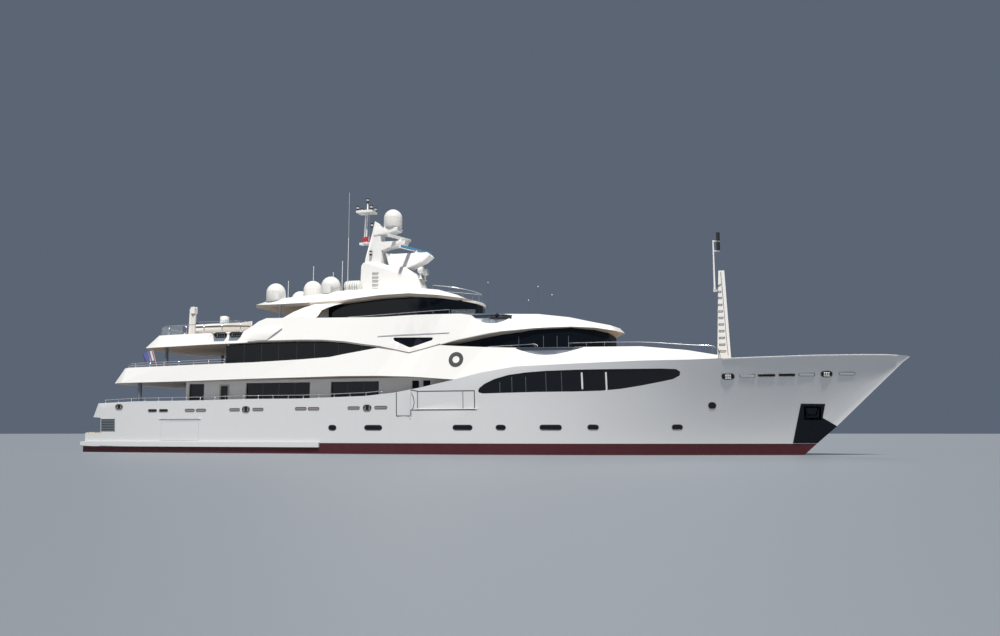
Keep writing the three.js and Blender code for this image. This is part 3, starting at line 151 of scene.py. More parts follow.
def reckoned(tree, operation, *values, **settings):
    """The result of a math node."""
    made = node_of(tree, "ShaderNodeMath", dict(enumerate(values)), operation=operation, **settings)
    return made.outputs[0]


def stretched(tree, scale):
    """A piece's own coordinates, scaled along each axis."""
    place = node_of(tree, "ShaderNodeTexCoord")
    return node_of(tree, "ShaderNodeMapping", {"Vector": place.outputs["Object"], "Scale": scale}).outputs[0]


def noise(tree, scale, over=None, **inputs):
    """A noise over a piece's own coordinates, or over other ones."""
    if over is None:
        over = node_of(tree, "ShaderNodeTexCoord").outputs["Object"]
    return node_of(tree, "ShaderNodeTexNoise", {"Vector": over, "Scale": scale, **inputs}).outputs["Fac"]


def ranged(tree, value, low, high, bottom=0.0, top=1.0):
    """A value brought from low and high to bottom and top, and held between them."""
    return node_of(tree, "ShaderNodeMapRange", {
        "Value": value, "From Min": low, "From Max": high, "To Min": bottom, "To Max": top}).outputs[0]


def bump(tree, height, distance, **inputs):
    """The normal of a surface that a height raises."""
    return node_of(tree, "ShaderNodeBump", {"Height": height, "Distance": distance, **inputs}).outputs[0]


def shader_group(name, inputs, outputs):
    group = bpy.data.node_groups.new(name, "ShaderNodeTree")
    for label, kind, default in inputs:
        socket = group.interface.new_socket(label, in_out="INPUT", socket_type=kind)
        socket.default_value = default
    for label, kind in outputs:
        group.interface.new_socket(label, in_out="OUTPUT", socket_type=kind)
    return group, group.nodes.new("NodeGroupInput"), group.nodes.new("NodeGroupOutput")


STAIN = (0.55, 0.52, 0.46, 1)


def weather_group():
    """Streaks that run down and salt that settles, over a colour and a roughness."""
    group, given, out = shader_group(
        "salt_and_streaks",
        [("Color", "NodeSocketColor", (1, 1, 1, 1)), ("Roughness", "NodeSocketFloat", 0.2),
         ("Streaks", "NodeSocketFloat", 0.1), ("Salt", "NodeSocketFloat", 0.1),
         ("Stain", "NodeSocketColor", STAIN)],
        [("Color", "NodeSocketColor"), ("Roughness", "NodeSocketFloat")])
    run = noise(group, 1.6, stretched(group, (5.0, 5.0, 0.35)), Detail=6.0, Roughness=0.62)
    streaks = reckoned(group, "MULTIPLY", ranged(group, run, 0.52, 0.78), given.outputs["Streaks"])
    grain = noise(group, 9.0, Detail=5.0, Roughness=0.7)
    salt = reckoned(group, "MULTIPLY", ranged(group, grain, 0.4, 0.75), given.outputs["Salt"])
    tinted = node_of(group, "ShaderNodeMix", {
        "Factor": streaks, 6: given.outputs["Color"], 7: given.outputs["Stain"]},
        data_type="RGBA", clamp_factor=True)
    rough = reckoned(group, "ADD", reckoned(group, "ADD", salt, streaks), given.outputs["Roughness"],
                     use_clamp=True)
    feed(group, out, Color=tinted.outputs[2], Roughness=rough)
    return group


def fairing_group():
    """The slow waves and fine orange peel of sprayed paint on a hand-faired surface."""
    group, given, out = shader_group(
        "faired_surface", [("Wave", "NodeSocketFloat", 0.5), ("Peel", "NodeSocketFloat", 0.02)],
        [("Normal", "NodeSocketVector")])
    waves = reckoned(group, "MULTIPLY", noise(group, 0.8, Detail=1.0), given.outputs["Wave"])
    peel = reckoned(group, "MULTIPLY", noise(group, 55.0, Detail=2.0), given.outputs["Peel"])
    feed(group, out, Normal=bump(group, peel, 0.001, Normal=bump(group, waves, 0.02)))
    return group


WEATHER = weather_group()
FAIRING = fairing_group()


def painted(name, colour, roughness, streaks, salt, wave=0.5, stain=STAIN, **sockets):
    """Sprayed paint over filler, as weathered as its streaks and salt say."""
    material, tree, shader = new_material(name, colour, roughness, **sockets)
    weather = node_of(tree, "ShaderNodeGroup", {
        "Color": (*colour, 1), "Roughness": roughness, "Streaks": streaks, "Salt": salt, "Stain": stain},
        node_tree=WEATHER)
    fairing = node_of(tree, "ShaderNodeGroup", {"Wave": wave}, node_tree=FAIRING)
    feed(tree, shader, Base_Color=weather.outputs["Color"], Roughness=weather.outputs["Roughness"],
         Normal=fairing.outputs["Normal"])
    return material


def metal(name, colour, roughness, brushed, scratch_scale):
    """Bare metal with fine scratches, drawn out as brushed says."""
    material, tree, shader = new_material(name, colour, roughness, 1.0)
    scratch = noise(tree, scratch_scale, stretched(tree, brushed), Detail=6.0)
    feed(tree, shader, Roughness=ranged(tree, scratch, 0.0, 1.0, roughness * 0.5, roughness * 1.6),
         Normal=bump(tree, scratch, 0.0006))
    return material


WHITE_PAINT = painted("white_topside_paint", (0.70, 0.705, 0.71), 0.20, 0.07, 0.02, wave=0.3,
                      Coat_Weight=0.5)
# Painted shade: the faces inside the louvre slots are coloured dark blue-grey for the shade in them.
LOUVRE_SHADE_PAINT = painted("painted_louvre_shade", (0.055, 0.065, 0.085), 0.5, 0.1, 0.1)
# The red is darker than the antifouling itself: painted shade for the shadow along the waterline.
SHADE_DARKENED_RED = painted("crimson_antifouling_darkened_for_shade", (0.066, 0.004, 0.010), 0.55, 0.5, 0.25, wave=0.8,
                    stain=(0.07, 0.05, 0.035, 1))
# Painted shade and reflection: polished steel made near black for the stem plates, the anchors and the anchor
# pockets.
SHADE_DARKENED_STEEL = metal("polished_plate_darkened_for_shade", (0.020, 0.024, 0.030), 0.25, (1.0, 1.0, 4.0), 12.0)


def plain_copy(carrier):
    """The mesh that an object's modifiers make, kept after the object goes."""
    depsgraph = bpy.context.evaluated_depsgraph_get()
    mesh = bpy.data.meshes.new_from_object(carrier.evaluated_get(depsgraph), depsgraph=depsgraph)
    bpy.data.objects.remove(carrier)
    return mesh


def evenly_shaded(mesh, sharp_degrees):
    """Smooth faces whose big flats keep their direction, split at the sharp edges."""
    mesh.polygons.foreach_set("use_smooth", [True] * len(mesh.polygons))
    mesh.set_sharp_from_angle(angle=math.radians(sharp_degrees))
    carrier = bpy.data.objects.new("shading", mesh)
    bpy.context.scene.collection.objects.link(carrier)
    weighted = carrier.modifiers.new("weighted", "WEIGHTED_NORMAL")
    weighted.keep_sharp = True
    return plain_copy(carrier)


def body_of(node):
    for name, members in frame["record"]["behaviour"]["bodies"].items():
        if node in members:
            return name
    return "hull"


def placed(name, mesh, body, slot):
    """Puts a mesh into the scene as a piece that rides on a body."""
    piece = bpy.data.objects.new(name, mesh)
    bpy.context.scene.collection.objects.link(piece)
    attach(piece, body)
    return piece


def refaced(node, materials, slot, sharp_degrees=28, pick=None):
    """Stands for a CAD node with the same shape, evenly shaded; pick chooses a face's material."""
    source = nodes[node].data.copy()
    source.materials.clear()
    for material in materials:
        source.materials.append(material)
    build = bmesh.new()
    build.from_mesh(source)
    bmesh.ops.remove_doubles(build, verts=build.verts, dist=1e-5)
    if pick:
        for face in build.faces:
            face.material_index = pick(face.calc_center_median() / MODEL, face.normal)
    build.to_mesh(source)
    build.free()
    piece = placed(f"{node}_finished", evenly_shaded(source, sharp_degrees), body_of(node), slot)
    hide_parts(node)
    return piece


def surface_of(*names):
    """The surface of some CAD nodes, on which small pieces are laid."""
    build = bmesh.new()
    for name in names:
        build.from_mesh(nodes[name].data)
    tree = BVHTree.FromBMesh(build)
    build.free()
    return tree


OUTBOARD = 9.0
DOORS = [f"{door}_{side}" for door in ("shell_door", "boarding_gate", "side_balcony") for side, _ in SIDES]
WHOLE_SIDE = surface_of("hull_topsides", "hull_bottom", *DOORS, *[
    f"{plate}_{side}" for plate in ("hull_window", "stem_plate") for side, _ in SIDES])
FAIR_STEPS = [(dx, dz) for dx in (-1.2, -0.6, 0.0, 0.6, 1.2) for dz in (-0.4, -0.2, 0.0, 0.2, 0.4)]
FAIR_DEPTH = 0.35
FAIR_SPREAD = math.cos(math.radians(38))
KEEL_HALF = 0.2


def faired(piece):
    """Shades a piece of the hull's side as one fair surface across its plates, doors and openings."""
    mesh = piece.data
    shading = [normal.vector.copy() for normal in mesh.corner_normals]
    fair = {}
    for polygon in mesh.polygons:
        for loop in polygon.loop_indices:
            corner = mesh.loops[loop].vertex_index
            place = mesh.vertices[corner].co
            if abs(place.y) < KEEL_HALF:
                continue
            side = math.copysign(1, place.y)
            if corner not in fair:
                total = Vector()
                for dx, dz in FAIR_STEPS:
                    start = Vector((place.x, side * OUTBOARD * MODEL, place.z)) + at(dx, 0, dz)
                    hit, normal, _, _ = WHOLE_SIDE.ray_cast(start, Vector((0, -side, 0)))
                    if hit and abs(hit.y - place.y) < FAIR_DEPTH:
                        total += normal
                fair[corner] = total.normalized()
            if fair[corner].dot(polygon.normal) > FAIR_SPREAD:
                shading[loop] = fair[corner]
    mesh.normals_split_custom_set(shading)


LOUVRES = {"aft": -28.05, "fore": -26.85, "low": 1.56, "pitch": 0.125, "slot": 0.07, "count": 8}
ANCHOR_POCKET = (23.2, 24.42, 2.22, 3.28)


def topside_pick(centre, normal):
    """Painted shade: dark faces inside the louvres and the anchor pockets; white plating elsewhere."""
    x0, x1, z0, z1 = ANCHOR_POCKET
    if x0 < centre.x < x1 and z0 < centre.z < z1:
        return 2
    slot, rest = divmod(centre.z - LOUVRES["low"] + 0.005, LOUVRES["pitch"])
    in_bank = LOUVRES["aft"] - 0.02 < centre.x < LOUVRES["fore"] + 0.02 and 0 <= slot < LOUVRES["count"]
    return 1 if in_bank and rest < LOUVRES["slot"] + 0.01 and abs(centre.y) > 1.5 else 0


faired(refaced("hull_topsides", [WHITE_PAINT, LOUVRE_SHADE_PAINT, SHADE_DARKENED_STEEL], "white_paint", pick=topside_pick))
faired(refaced("hull_bottom", [SHADE_DARKENED_RED], "red_paint"))
refaced("rub_rail", [WHITE_PAINT], "white_paint")


# Doors, gates and balconies: welded panels, faired and painted with the side that they close. Each lies
# flush in its opening in a black rubber seal. The engine room's louvres carry painted shade: dark slots
# and grey strips over the white slats between them.
for door in DOORS:
    faired(refaced(door, [WHITE_PAINT], "white_paint"))
refaced("transom_door", [WHITE_PAINT], "white_paint")


def on_side(tree, x, z, side, proud=0.0):
    """Where a line across the yacht meets its side, moved outward by proud."""
    point, normal, _, _ = tree.ray_cast(at(x, side * OUTBOARD, z), Vector((0, -side, 0)))
    if point is None:
        point, normal, _, _ = tree.find_nearest(at(x, side * OUTBOARD / 2, z))
    return point + normal * (proud * MODEL)


def resampled(path, step, closed=False):
    """A path with more corners, none further apart than step."""
    corners = list(path) + ([path[0]] if closed else [])
    dense = []
    for (x0, z0), (x1, z1) in zip(corners, corners[1:]):
        count = max(1, math.ceil(math.hypot(x1 - x0, z1 - z0) / step))
        dense += [(x0 + (x1 - x0) * i / count, z0 + (z1 - z0) * i / count) for i in range(count)]
    return dense if closed else dense + [corners[-1]]


SHARPEST_MITRE = 0.5


def widened(path, distance, closed=False):
    """A flat path moved sideways, mitred at its corners."""
    moved = []
    for i, (x, z) in enumerate(path):
        before = path[i - 1] if closed or i else path[0]
        after = path[(i + 1) % len(path)] if closed or i + 1 < len(path) else path[-1]
        into = Vector((x - before[0], z - before[1]))
        away = Vector((after[0] - x, after[1] - z))
        behind = (into if into.length else away).normalized()
        ahead = (away if away.length else into).normalized()
        along = (behind + ahead).normalized()
        reach = distance / max(SHARPEST_MITRE, along.dot(ahead))
        moved.append((x - along.y * reach, z + along.x * reach))
    return moved


def joined(build, one, two, material=0, closed=True):
    """The faces between two rows of corners."""
    for i in range(len(one) if closed else len(one) - 1):
        j = (i + 1) % len(one)
        build.faces.new((one[i], one[j], two[j], two[i])).material_index = material


SUNK = -0.02
STRIP_STEP = 0.4


def lay_strip(build, tree, path, side, width, proud, closed=False):
    """A flat strip along a path on the yacht's side, let in a little behind its surface."""
    dense = resampled(path, STRIP_STEP, closed)
    edges = [widened(dense, offset, closed) for offset in (width / 2, -width / 2)]
    rows = [[build.verts.new(on_side(tree, x, z, side, height)) for x, z in edge]
            for edge, height in ((edges[0], SUNK), (edges[0], proud), (edges[1], proud), (edges[1], SUNK))]
    for one, two in zip(rows, rows[1:] + rows[:1]):
        joined(build, one, two, closed=closed)
    if not closed:
        for end in (0, -1):
            build.faces.new([row[end] for row in rows])


def both(fill):
    """A function that fills in one side's fittings, made to fill in both sides'."""
    def fill_both(build):
        for _, side in SIDES:
            fill(build, side)
    return fill_both


def built(name, fill, materials, slot, body="hull", sharp_degrees=40):
    """A piece whose mesh is filled in by a function, its faces turned outward."""
    build = bmesh.new()
    fill(build)
    bmesh.ops.recalc_face_normals(build, faces=build.faces)
    mesh = bpy.data.meshes.new(name)
    for material in materials:
        mesh.materials.append(material)
    build.to_mesh(mesh)
    build.free()
    mesh.polygons.foreach_set("use_smooth", [True] * len(mesh.polygons))
    mesh.set_sharp_from_angle(angle=math.radians(sharp_degrees))
    return placed(name, mesh, body, slot)


def plastic(name, colour, roughness, grain):
    """A moulded surface: a fine grain in its height and a little in its gloss."""
    material, tree, shader = new_material(name, colour, roughness)
    relief = noise(tree, grain, Detail=4.0)
    feed(tree, shader, Roughness=ranged(tree, relief, 0.0, 1.0, roughness * 0.8, roughness * 1.3),
         Normal=bump(tree, relief, 0.0004))
    return material


RUBBER = plastic("black_seal_rubber", (0.030, 0.032, 0.036), 0.6, 60.0)
# Painted shade on the louvre slats, which are white plating; the domes' seams take it as their own grey.
SLAT_SHADE_AND_SEAM_GREY = painted("grey_slat_shade_and_seam_paint", (0.20, 0.225, 0.26), 0.4, 0.1, 0.1)
SEAL_WIDTH = 0.055
SEAL_PROUD = 0.010
GATE_OUTLINE = (
    (-3.78, 2.61), (-2.72, 2.61), (-2.72, 3.02), (-2.15, 3.02), (1.83, 3.02), (1.83, 4.30), (-2.15, 4.30),
    (-2.72, 4.40),
)
GATE_SIDE = ((-3.78, 2.61), (-3.78, 4.24))
GATE_CURVE = ((-2.72, 3.02), (-2.56, 3.16), (-2.47, 3.55), (-2.52, 3.85), (-2.72, 4.28))
BALCONY_AFT_LINE = ((-2.24, 3.02), (-2.24, 4.30))
BALCONY_FORE_LINE = ((1.02, 3.05), (1.02, 4.26))
SEALS = ((GATE_OUTLINE, 1.0), (GATE_SIDE, 1.0), (GATE_CURVE, 0.8), (BALCONY_AFT_LINE, 0.8))
hull_side = surface_of("hull_topsides", *DOORS)


@both
def louvre_slats(build, side):
    """Grey strips of painted shade on the slats between the louvres, and on their frame."""
    aft, fore, low, pitch, slot, count = LOUVRES.values()
    for k in range(count - 1):
        level = low + k * pitch + (pitch + slot) / 2
        lay_strip(build, hull_side, ((aft, level), (fore, level)), side, pitch - slot, 0.012)
    for x in (aft - 0.03, fore + 0.03):
        lay_strip(build, hull_side, ((x, low - 0.03), (x, low + count * pitch - 0.02)), side, 0.05, 0.015)


@both
def door_seals(build, side):
    for line, share in SEALS:
        lay_strip(build, hull_side, line, side, SEAL_WIDTH * share, SEAL_PROUD)


built("louvre_slats", louvre_slats, [SLAT_SHADE_AND_SEAM_GREY], "white_paint")
built("gate_and_balcony_seals", door_seals, [RUBBER], "dark_glass")
for name, sign in SIDES:
    built(f"balcony_panel_seam_{name}", lambda build: lay_strip(
        build, hull_side, BALCONY_FORE_LINE, sign, SEAL_WIDTH * 0.7, SEAL_PROUD), [RUBBER], "dark_glass",
        body=f"side_balcony_{name}")


# Running gear and ground tackle: cast bronze propellers on stainless shafts, rudders and fins in
# antifouling darkened as painted shade, and stem plates and anchors of polished steel painted near
# black as the shade and dark reflections of the anchor pockets.
STEEL = metal("polished_stainless", (0.62, 0.63, 0.65), 0.18, (1.0, 1.0, 6.0), 20.0)
BRONZE = metal("cast_bronze", (0.55, 0.38, 0.17), 0.30, (3.0, 3.0, 3.0), 15.0)
for node, material, slot in (
        ("stem_plate", SHADE_DARKENED_STEEL, "stainless_steel"), ("anchor", SHADE_DARKENED_STEEL, "stainless_steel"),
        ("propeller_shaft", STEEL, "stainless_steel"), ("propeller", BRONZE, "bronze"),
        ("rudder", SHADE_DARKENED_RED, "red_paint"), ("stabiliser_fin", SHADE_DARKENED_RED, "red_paint")):
    for side, _ in SIDES:
        refaced(f"{node}_{side}", [material], slot)


# Window glass: thick, heavily tinted panes that mirror the sky and hide the rooms,
# bedded in black sealant with a seam where two panes meet.
def tinted_glass():
    """Dark glass with the slow sag of toughened panes and a thin film of salt."""
    material, tree, shader = new_material("tinted_glass", (0.004, 0.006, 0.010), 0.04, Specular_IOR_Level=0.3)
    feed(tree, shader, Roughness=ranged(tree, noise(tree, 3.0, Detail=6.0), 0.45, 0.8, 0.03, 0.14),
         Normal=bump(tree, noise(tree, 0.7, Detail=0.0), 0.02, Strength=0.25))
    return material


GLASS = tinted_glass()
for window in ("hull_window", "main_windows", "upper_windows", "saloon_door"):
    for side, _ in SIDES:
        refaced(f"{window}_{side}", [GLASS], "dark_glass")
for window in ("bridge_windows", "sun_deck_windows"):
    refaced(window, [GLASS], "dark_glass")

SEAM_PAINT = plastic("grey_glazing_seam", (0.10, 0.12, 0.15), 0.4, 40.0)
# The superstructure's own white; it is also used as painted light, on the shaded main deckhouse walls, in the
# lit freeing slots and on the bow fairleads' rollers.
HOUSE_WHITE_AND_LIGHT = painted("white_superstructure_paint_and_painted_light", (0.87, 0.86, 0.835), 0.28, 0.04, 0.02, wave=0.1,
                      Coat_Weight=0.2)
SEAM_WIDTH = 0.035
WINDOW_SEAMS = (
    (("upper_windows_port", "upper_windows_starboard"), 5.8, 8.1,
     (-16.45, -15.0, -13.6, -12.13, -10.7, -8.8, -7.0, -5.2, -3.4)),
    (("main_windows_port", "main_windows_starboard"), 3.75, 5.08, (-14.9, -13.6, -12.3, -8.1, -6.85)),
    (("bridge_windows",), 6.65, 8.05, (4.63, 6.34, 7.25, 8.01)),
    (("hull_window_port", "hull_window_starboard"), 4.18, 5.5, (3.6, 4.43, 5.38, 6.75, 7.8)),
)
HULL_BARS = (9.16, 10.74)
BAR_SPAN = (4.02, 5.42)
BAR_WIDTH = 0.11


@both
def window_seams(build, side):
    for names, low, high, places in WINDOW_SEAMS:
        panes = surface_of(*names)
        for x in places:
            lay_strip(build, panes, ((x, low), (x, high)), side, SEAM_WIDTH, 0.006)


@both
def hull_window_bars(build, side):
    panes = surface_of("hull_window_port", "hull_window_starboard")
    for x in HULL_BARS:
        lay_strip(build, panes, [(x, z) for z in BAR_SPAN], side, BAR_WIDTH, 0.03)


built("window_seams", window_seams, [SEAM_PAINT], "dark_glass")
built("hull_window_bars", hull_window_bars, [HOUSE_WHITE_AND_LIGHT], "white_paint")


# Portholes, freeing slots and fairleads in the topsides: each a polished rim let into the plating round a
# pane. The portholes' panes are dark glass. In the freeing slots and fairleads the pane is painted shade,
# near black in some and pale in others, and painted light in the slots that show a lit bulwark beyond;
# the fairleads' rollers are painted pale as highlights.
def rounded_slot(width, height, arc=7):
    """An outline with half-round ends."""
    radius = height / 2
    reach = max(width / 2 - radius, 0.0)
    return [(centre + radius * math.cos(math.radians(start + 180 * i / arc)),
             radius * math.sin(math.radians(start + 180 * i / arc)))
            for centre, start in ((reach, -90), (-reach, 90)) for i in range(arc + 1)]


RIM = ((0.035, SUNK), (0.035, 0.010), (0.025, 0.018), (0.008, 0.018), (0.0, 0.010))


def lay_fitting(build, tree, x, z, width, height, side, rim=RIM, pane=1):
    """A rim on the yacht's side, as rings wider and prouder than its opening, closed by a pane."""
    rings = [[build.verts.new(on_side(tree, x + u, z + v, side, proud))
              for u, v in rounded_slot(width + 2 * wider, height + 2 * wider)] for wider, proud in rim]
    for one, two in zip(rings, rings[1:]):
        joined(build, one, two)
    build.faces.new(rings[0])
    build.faces.new(rings[-1]).material_index = pane


# Painted shade in the pale freeing slots, and painted highlight on the aft fairleads' rollers.
RECESS_SHADE_AND_GLINT = plastic("painted_recess_shade_and_roller_glint", (0.27, 0.245, 0.22), 0.7, 30.0)
RIM_STEEL = metal("satin_rim_steel", (0.20, 0.20, 0.21), 0.5, (1.0, 1.0, 1.0), 20.0)
# Painted shade: a near-black pane where an opening shows only shade.
DEEP_SHADE_PANE = plastic("painted_deep_shade", (0.008, 0.008, 0.009), 0.8, 30.0)
PORTHOLES = (
    (-8.60, 1.82, 0.56, 0.34), (-5.51, 1.82, 1.28, 0.32), (0.96, 1.82, 1.34, 0.32), (3.61, 1.82, 0.64, 0.32),
    (6.97, 1.82, 1.43, 0.32), (9.75, 1.83, 0.68, 0.32), (15.15, 1.83, 0.65, 0.32), (17.43, 3.24, 0.46, 0.40),
)
DARK_SLOTS = ((-23.40, 3.12, 0.72), (-22.43, 3.12, 0.72), (20.92, 5.17, 1.05), (22.2, 5.20, 1.0))
PALE_SLOTS = (
    (-20.15, 3.12, 0.78), (-19.20, 3.12, 0.80), (-16.38, 3.14, 0.81), (-14.47, 3.15, 0.83),
    (-11.05, 3.18, 0.85), (-10.05, 3.17, 0.83), (-6.97, 3.20, 0.86), (-4.93, 3.22, 0.90),
)
# Painted light: these slots' panes take the house white for the lit bulwark seen through them.
BRIGHT_SLOTS = ((19.72, 5.14, 0.95), (23.45, 5.23, 1.0), (26.0, 5.30, 1.0))
SLOT_HEIGHT = 0.15
SLOT_RIM = ((0.030, SUNK), (0.030, 0.020), (0.022, 0.032), (0.0, 0.032), (-0.008, 0.016))
FAIRLEADS = ((-26.42, 3.43, 0.58, 0.30), (-15.45, 3.16, 0.54, 0.34), (-5.95, 3.20, 0.54, 0.34))
BOW_FAIRLEADS = ((18.50, 5.10, 0.78, 0.36), (24.70, 5.27, 0.70, 0.36))
FAIRLEAD_RIM = ((0.05, SUNK), (0.05, 0.03), (0.035, 0.05), (0.012, 0.045), (0.0, 0.008))


@both
def portholes(build, side):
    for x, z, width, height in PORTHOLES:
        lay_fitting(build, hull_side, x, z, width, height, side)


@both
def freeing_slots(build, side):
    for slots, pane in ((PALE_SLOTS, 1), (DARK_SLOTS, 2), (BRIGHT_SLOTS, 3)):
        for x, z, width in slots:
            lay_fitting(build, hull_side, x, z, width, SLOT_HEIGHT, side, SLOT_RIM, pane)


def round_of(count):
    """The angles of a ring's corners."""
    return [2 * math.pi * i / count for i in range(count)]


def turn(build, foot, profile, steps=12, material=0, axis=(0, 0, 1)):
    """A body turned about an axis, from pairs of distance from the axis and height."""
    rotation = Vector((0, 0, 1)).rotation_difference(Vector(axis)).to_matrix()
    rings = []
    for radius, height in profile:
        corners = (at(radius * math.cos(a), radius * math.sin(a), height) for a in round_of(steps))
        rings.append([build.verts.new(foot + rotation @ corner) for corner in corners])
    for one, two in zip(rings, rings[1:]):
        joined(build, one, two, material)
    for ring in (rings[0], rings[-1]):
        build.faces.new(ring).material_index = material


ROLLER = ((0.035, 0.0), (0.055, 0.02), (0.035, 0.09), (0.035, 0.21), (0.055, 0.28), (0.035, 0.30))
BOW_ROLLER = ((0.03, 0.0), (0.07, 0.02), (0.055, 0.08), (0.055, 0.22), (0.07, 0.28), (0.03, 0.30))
ROLLER_SPAN = (-0.15, 0.15)


def upright_roller(build, tree, x, z, side, proud, steps):
    """A roller that stands before the side, in a fairlead."""
    turn(build, on_side(tree, x, z, side, proud) + at(0, 0, ROLLER_SPAN[0]), ROLLER, steps, 2)


@both
def fairleads(build, side):
    for x, z, width, height in FAIRLEADS:
        lay_fitting(build, hull_side, x, z, width, height, side, FAIRLEAD_RIM)
        # Painted highlight: the rollers take the pale recess grey for their glints.
        for offset in (-width * 0.3, width * 0.3):
            upright_roller(build, hull_side, x + offset, z, side, 0.01, 10)


@both
def bow_fairleads(build, side):
    """Fairleads in the flare, their rollers laid along its slope."""
    for x, z, width, height in BOW_FAIRLEADS:
        lay_fitting(build, hull_side, x, z, width, height, side, SLOT_RIM)
        # Painted highlight: the rollers take the house white for their glints.
        for offset in (-0.13, 0.0, 0.13):
            foot, head = (on_side(hull_side, x + offset, z + rise, side) for rise in ROLLER_SPAN)
            turn(build, foot, BOW_ROLLER, 12, 2, axis=head - foot)


built("portholes", portholes, [RIM_STEEL, GLASS], "dark_glass")
built("freeing_slots", freeing_slots, [RIM_STEEL, RECESS_SHADE_AND_GLINT, DEEP_SHADE_PANE, HOUSE_WHITE_AND_LIGHT], "stainless_steel")
built("fairleads", fairleads, [RIM_STEEL, DEEP_SHADE_PANE, RECESS_SHADE_AND_GLINT], "stainless_steel")
built("bow_fairleads", bow_fairleads, [RIM_STEEL, DEEP_SHADE_PANE, HOUSE_WHITE_AND_LIGHT], "stainless_steel")


# Superstructure shells: welded aluminium, faired and painted white. The soffits underneath, faces
# that look down, are painted warm beige as shade, the dishes in their sides pale blue-grey as painted
# shade, the deck posts grey-blue darkened as painted shade, and the side windows are dark.
# Painted shade: faces that look down, and the hardtop wings' inner faces, take this warm beige; the lobby
# door frames and the ensign staff take it as their own colour.
BEIGE_AND_SOFFIT_SHADE = painted("warm_beige_and_painted_soffit_shade", (0.52, 0.46, 0.39), 0.45, 0.05, 0.05)
# Painted shade: the dishes' faces take a pale blue-grey for the shade in the hollows.
DISH_SHADE_PAINT = painted("pale_blue_painted_dish_shade", (0.15, 0.18, 0.225), 0.30, 0.10, 0.06)
# Grey-blue, darkened as painted shade for the posts under the decks and hardtop; the tender's strake, the
# raft ribs and the foremast's edges take it too.
GREY_PAINT_AND_POST_SHADE = painted("grey_blue_paint_and_post_shade", (0.15, 0.17, 0.21), 0.32, 0.12, 0.10)
DOWNWARD_SHADE_TILT = -0.12
BOW_DISH = (
    (4.56, 7.2), (5.02, 6.98), (5.56, 6.82), (6.1, 6.69), (6.67, 6.64), (7.4, 6.67), (8.2, 6.83), (9.28, 7.2),
)
ROOF_DISH = (
    (1.31, 9.7), (1.55, 9.38), (1.89, 9.19), (2.3, 9.03), (2.7, 8.97), (3.15, 9.0), (3.62, 9.14),
    (3.95, 9.32), (4.19, 9.7),
)
SIDE_DISHES = (
    ((-18.95, 8.9), (-18.9, 8.5), (-18.78, 8.24), (-17.86, 8.24), (-17.7, 8.5), (-17.66, 8.9)),
    ((-17.56, 8.9), (-17.56, 8.24), (-16.72, 8.24), (-16.5, 8.5), (-16.4, 8.9)),
)
EYE_PANE = (
    (-4.31, 8.08), (-4.2, 7.9), (-3.12, 7.42), (-2.99, 7.4), (-2.84, 7.43), (-1.43, 7.88), (-1.36, 8.04),
    (-1.5, 8.08), (-4.2, 8.14),
)
MAIN_POST = (-25.06, 4.3)
UPPER_POST = (-23.15, 3.85)
POST_REACH = 0.25
DISH_OUT = 3.4


def inside(outline, x, z):
    """Whether a point of the side view lies in an outline."""
    crossings = 0
    for (x0, z0), (x1, z1) in zip(outline, outline[1:] + outline[:1]):
        if (z0 > z) != (z1 > z) and x < x0 + (z - z0) * (x1 - x0) / (z1 - z0):
            crossings += 1
    return crossings % 2 == 1


def shell_pick(dishes, eye, post, post_top):
    """Chooses paint, painted soffit shade, painted dish shade, window or post for a face of a shell, in the
    order of SHELL_PAINTS.
    """
    def pick(centre, normal):
        outward = normal.y * centre.y > -0.2 * abs(centre.y) and abs(centre.y) > DISH_OUT
        near = math.hypot(centre.x - post[0], abs(centre.y) - post[1]) < POST_REACH
        if near and centre.z < post_top:
            return 3
        if outward and any(inside(outline, centre.x, centre.z) for outline in dishes):
            return 2
        if outward and eye and inside(eye, centre.x, centre.z):
            return 4
        return 1 if normal.z < DOWNWARD_SHADE_TILT else 0
    return pick


ROUND_REACH = 1.5
ROUND_SPREAD = 0.45
UPRIGHT = 0.8


def rounded_stern(piece, fore):
    """Shades the plates round a deck's stern, aft of fore, as one bent surface."""
    mesh = piece.data
    shading = [normal.vector.copy() for normal in mesh.corner_normals]
    plates = [(plate.center / MODEL, plate.normal.copy(), plate.area) for plate in mesh.polygons
              if plate.center.x < fore * MODEL and abs(plate.normal.z) < UPRIGHT]
    for polygon in mesh.polygons:
        if polygon.center.x > (fore - 0.3) * MODEL or abs(polygon.normal.z) > UPRIGHT:
            continue
        for loop in polygon.loop_indices:
            corner = mesh.vertices[mesh.loops[loop].vertex_index].co / MODEL
            total = Vector()
            for centre, normal, area in plates:
                gap = (centre - corner).length
                if gap < ROUND_REACH and normal.dot(polygon.normal) > ROUND_SPREAD:
                    total += normal * area * (ROUND_REACH - gap)
            if total.length:
                shading[loop] = total.normalized()
    mesh.normals_split_custom_set(shading)


SHELL_PAINTS = [HOUSE_WHITE_AND_LIGHT, BEIGE_AND_SOFFIT_SHADE, DISH_SHADE_PAINT, GREY_PAINT_AND_POST_SHADE, GLASS]
rounded_stern(refaced("upper_deck_band", SHELL_PAINTS, "white_paint",
                      pick=shell_pick((BOW_DISH,), None, MAIN_POST, 5.2)), -24.9)
rounded_stern(refaced("bridge_deck_body", SHELL_PAINTS, "white_paint",
                      pick=shell_pick((ROOF_DISH, *SIDE_DISHES), EYE_PANE, UPPER_POST, 7.85)), -22.9)


def top_pick(centre, normal):
    """Painted shade in warm beige under the hardtop and on its wings' inner faces."""
    inboard = normal.y * centre.y < -0.35 * abs(centre.y) and centre.z < 11.1
    return 1 if inboard or normal.z < DOWNWARD_SHADE_TILT else 0


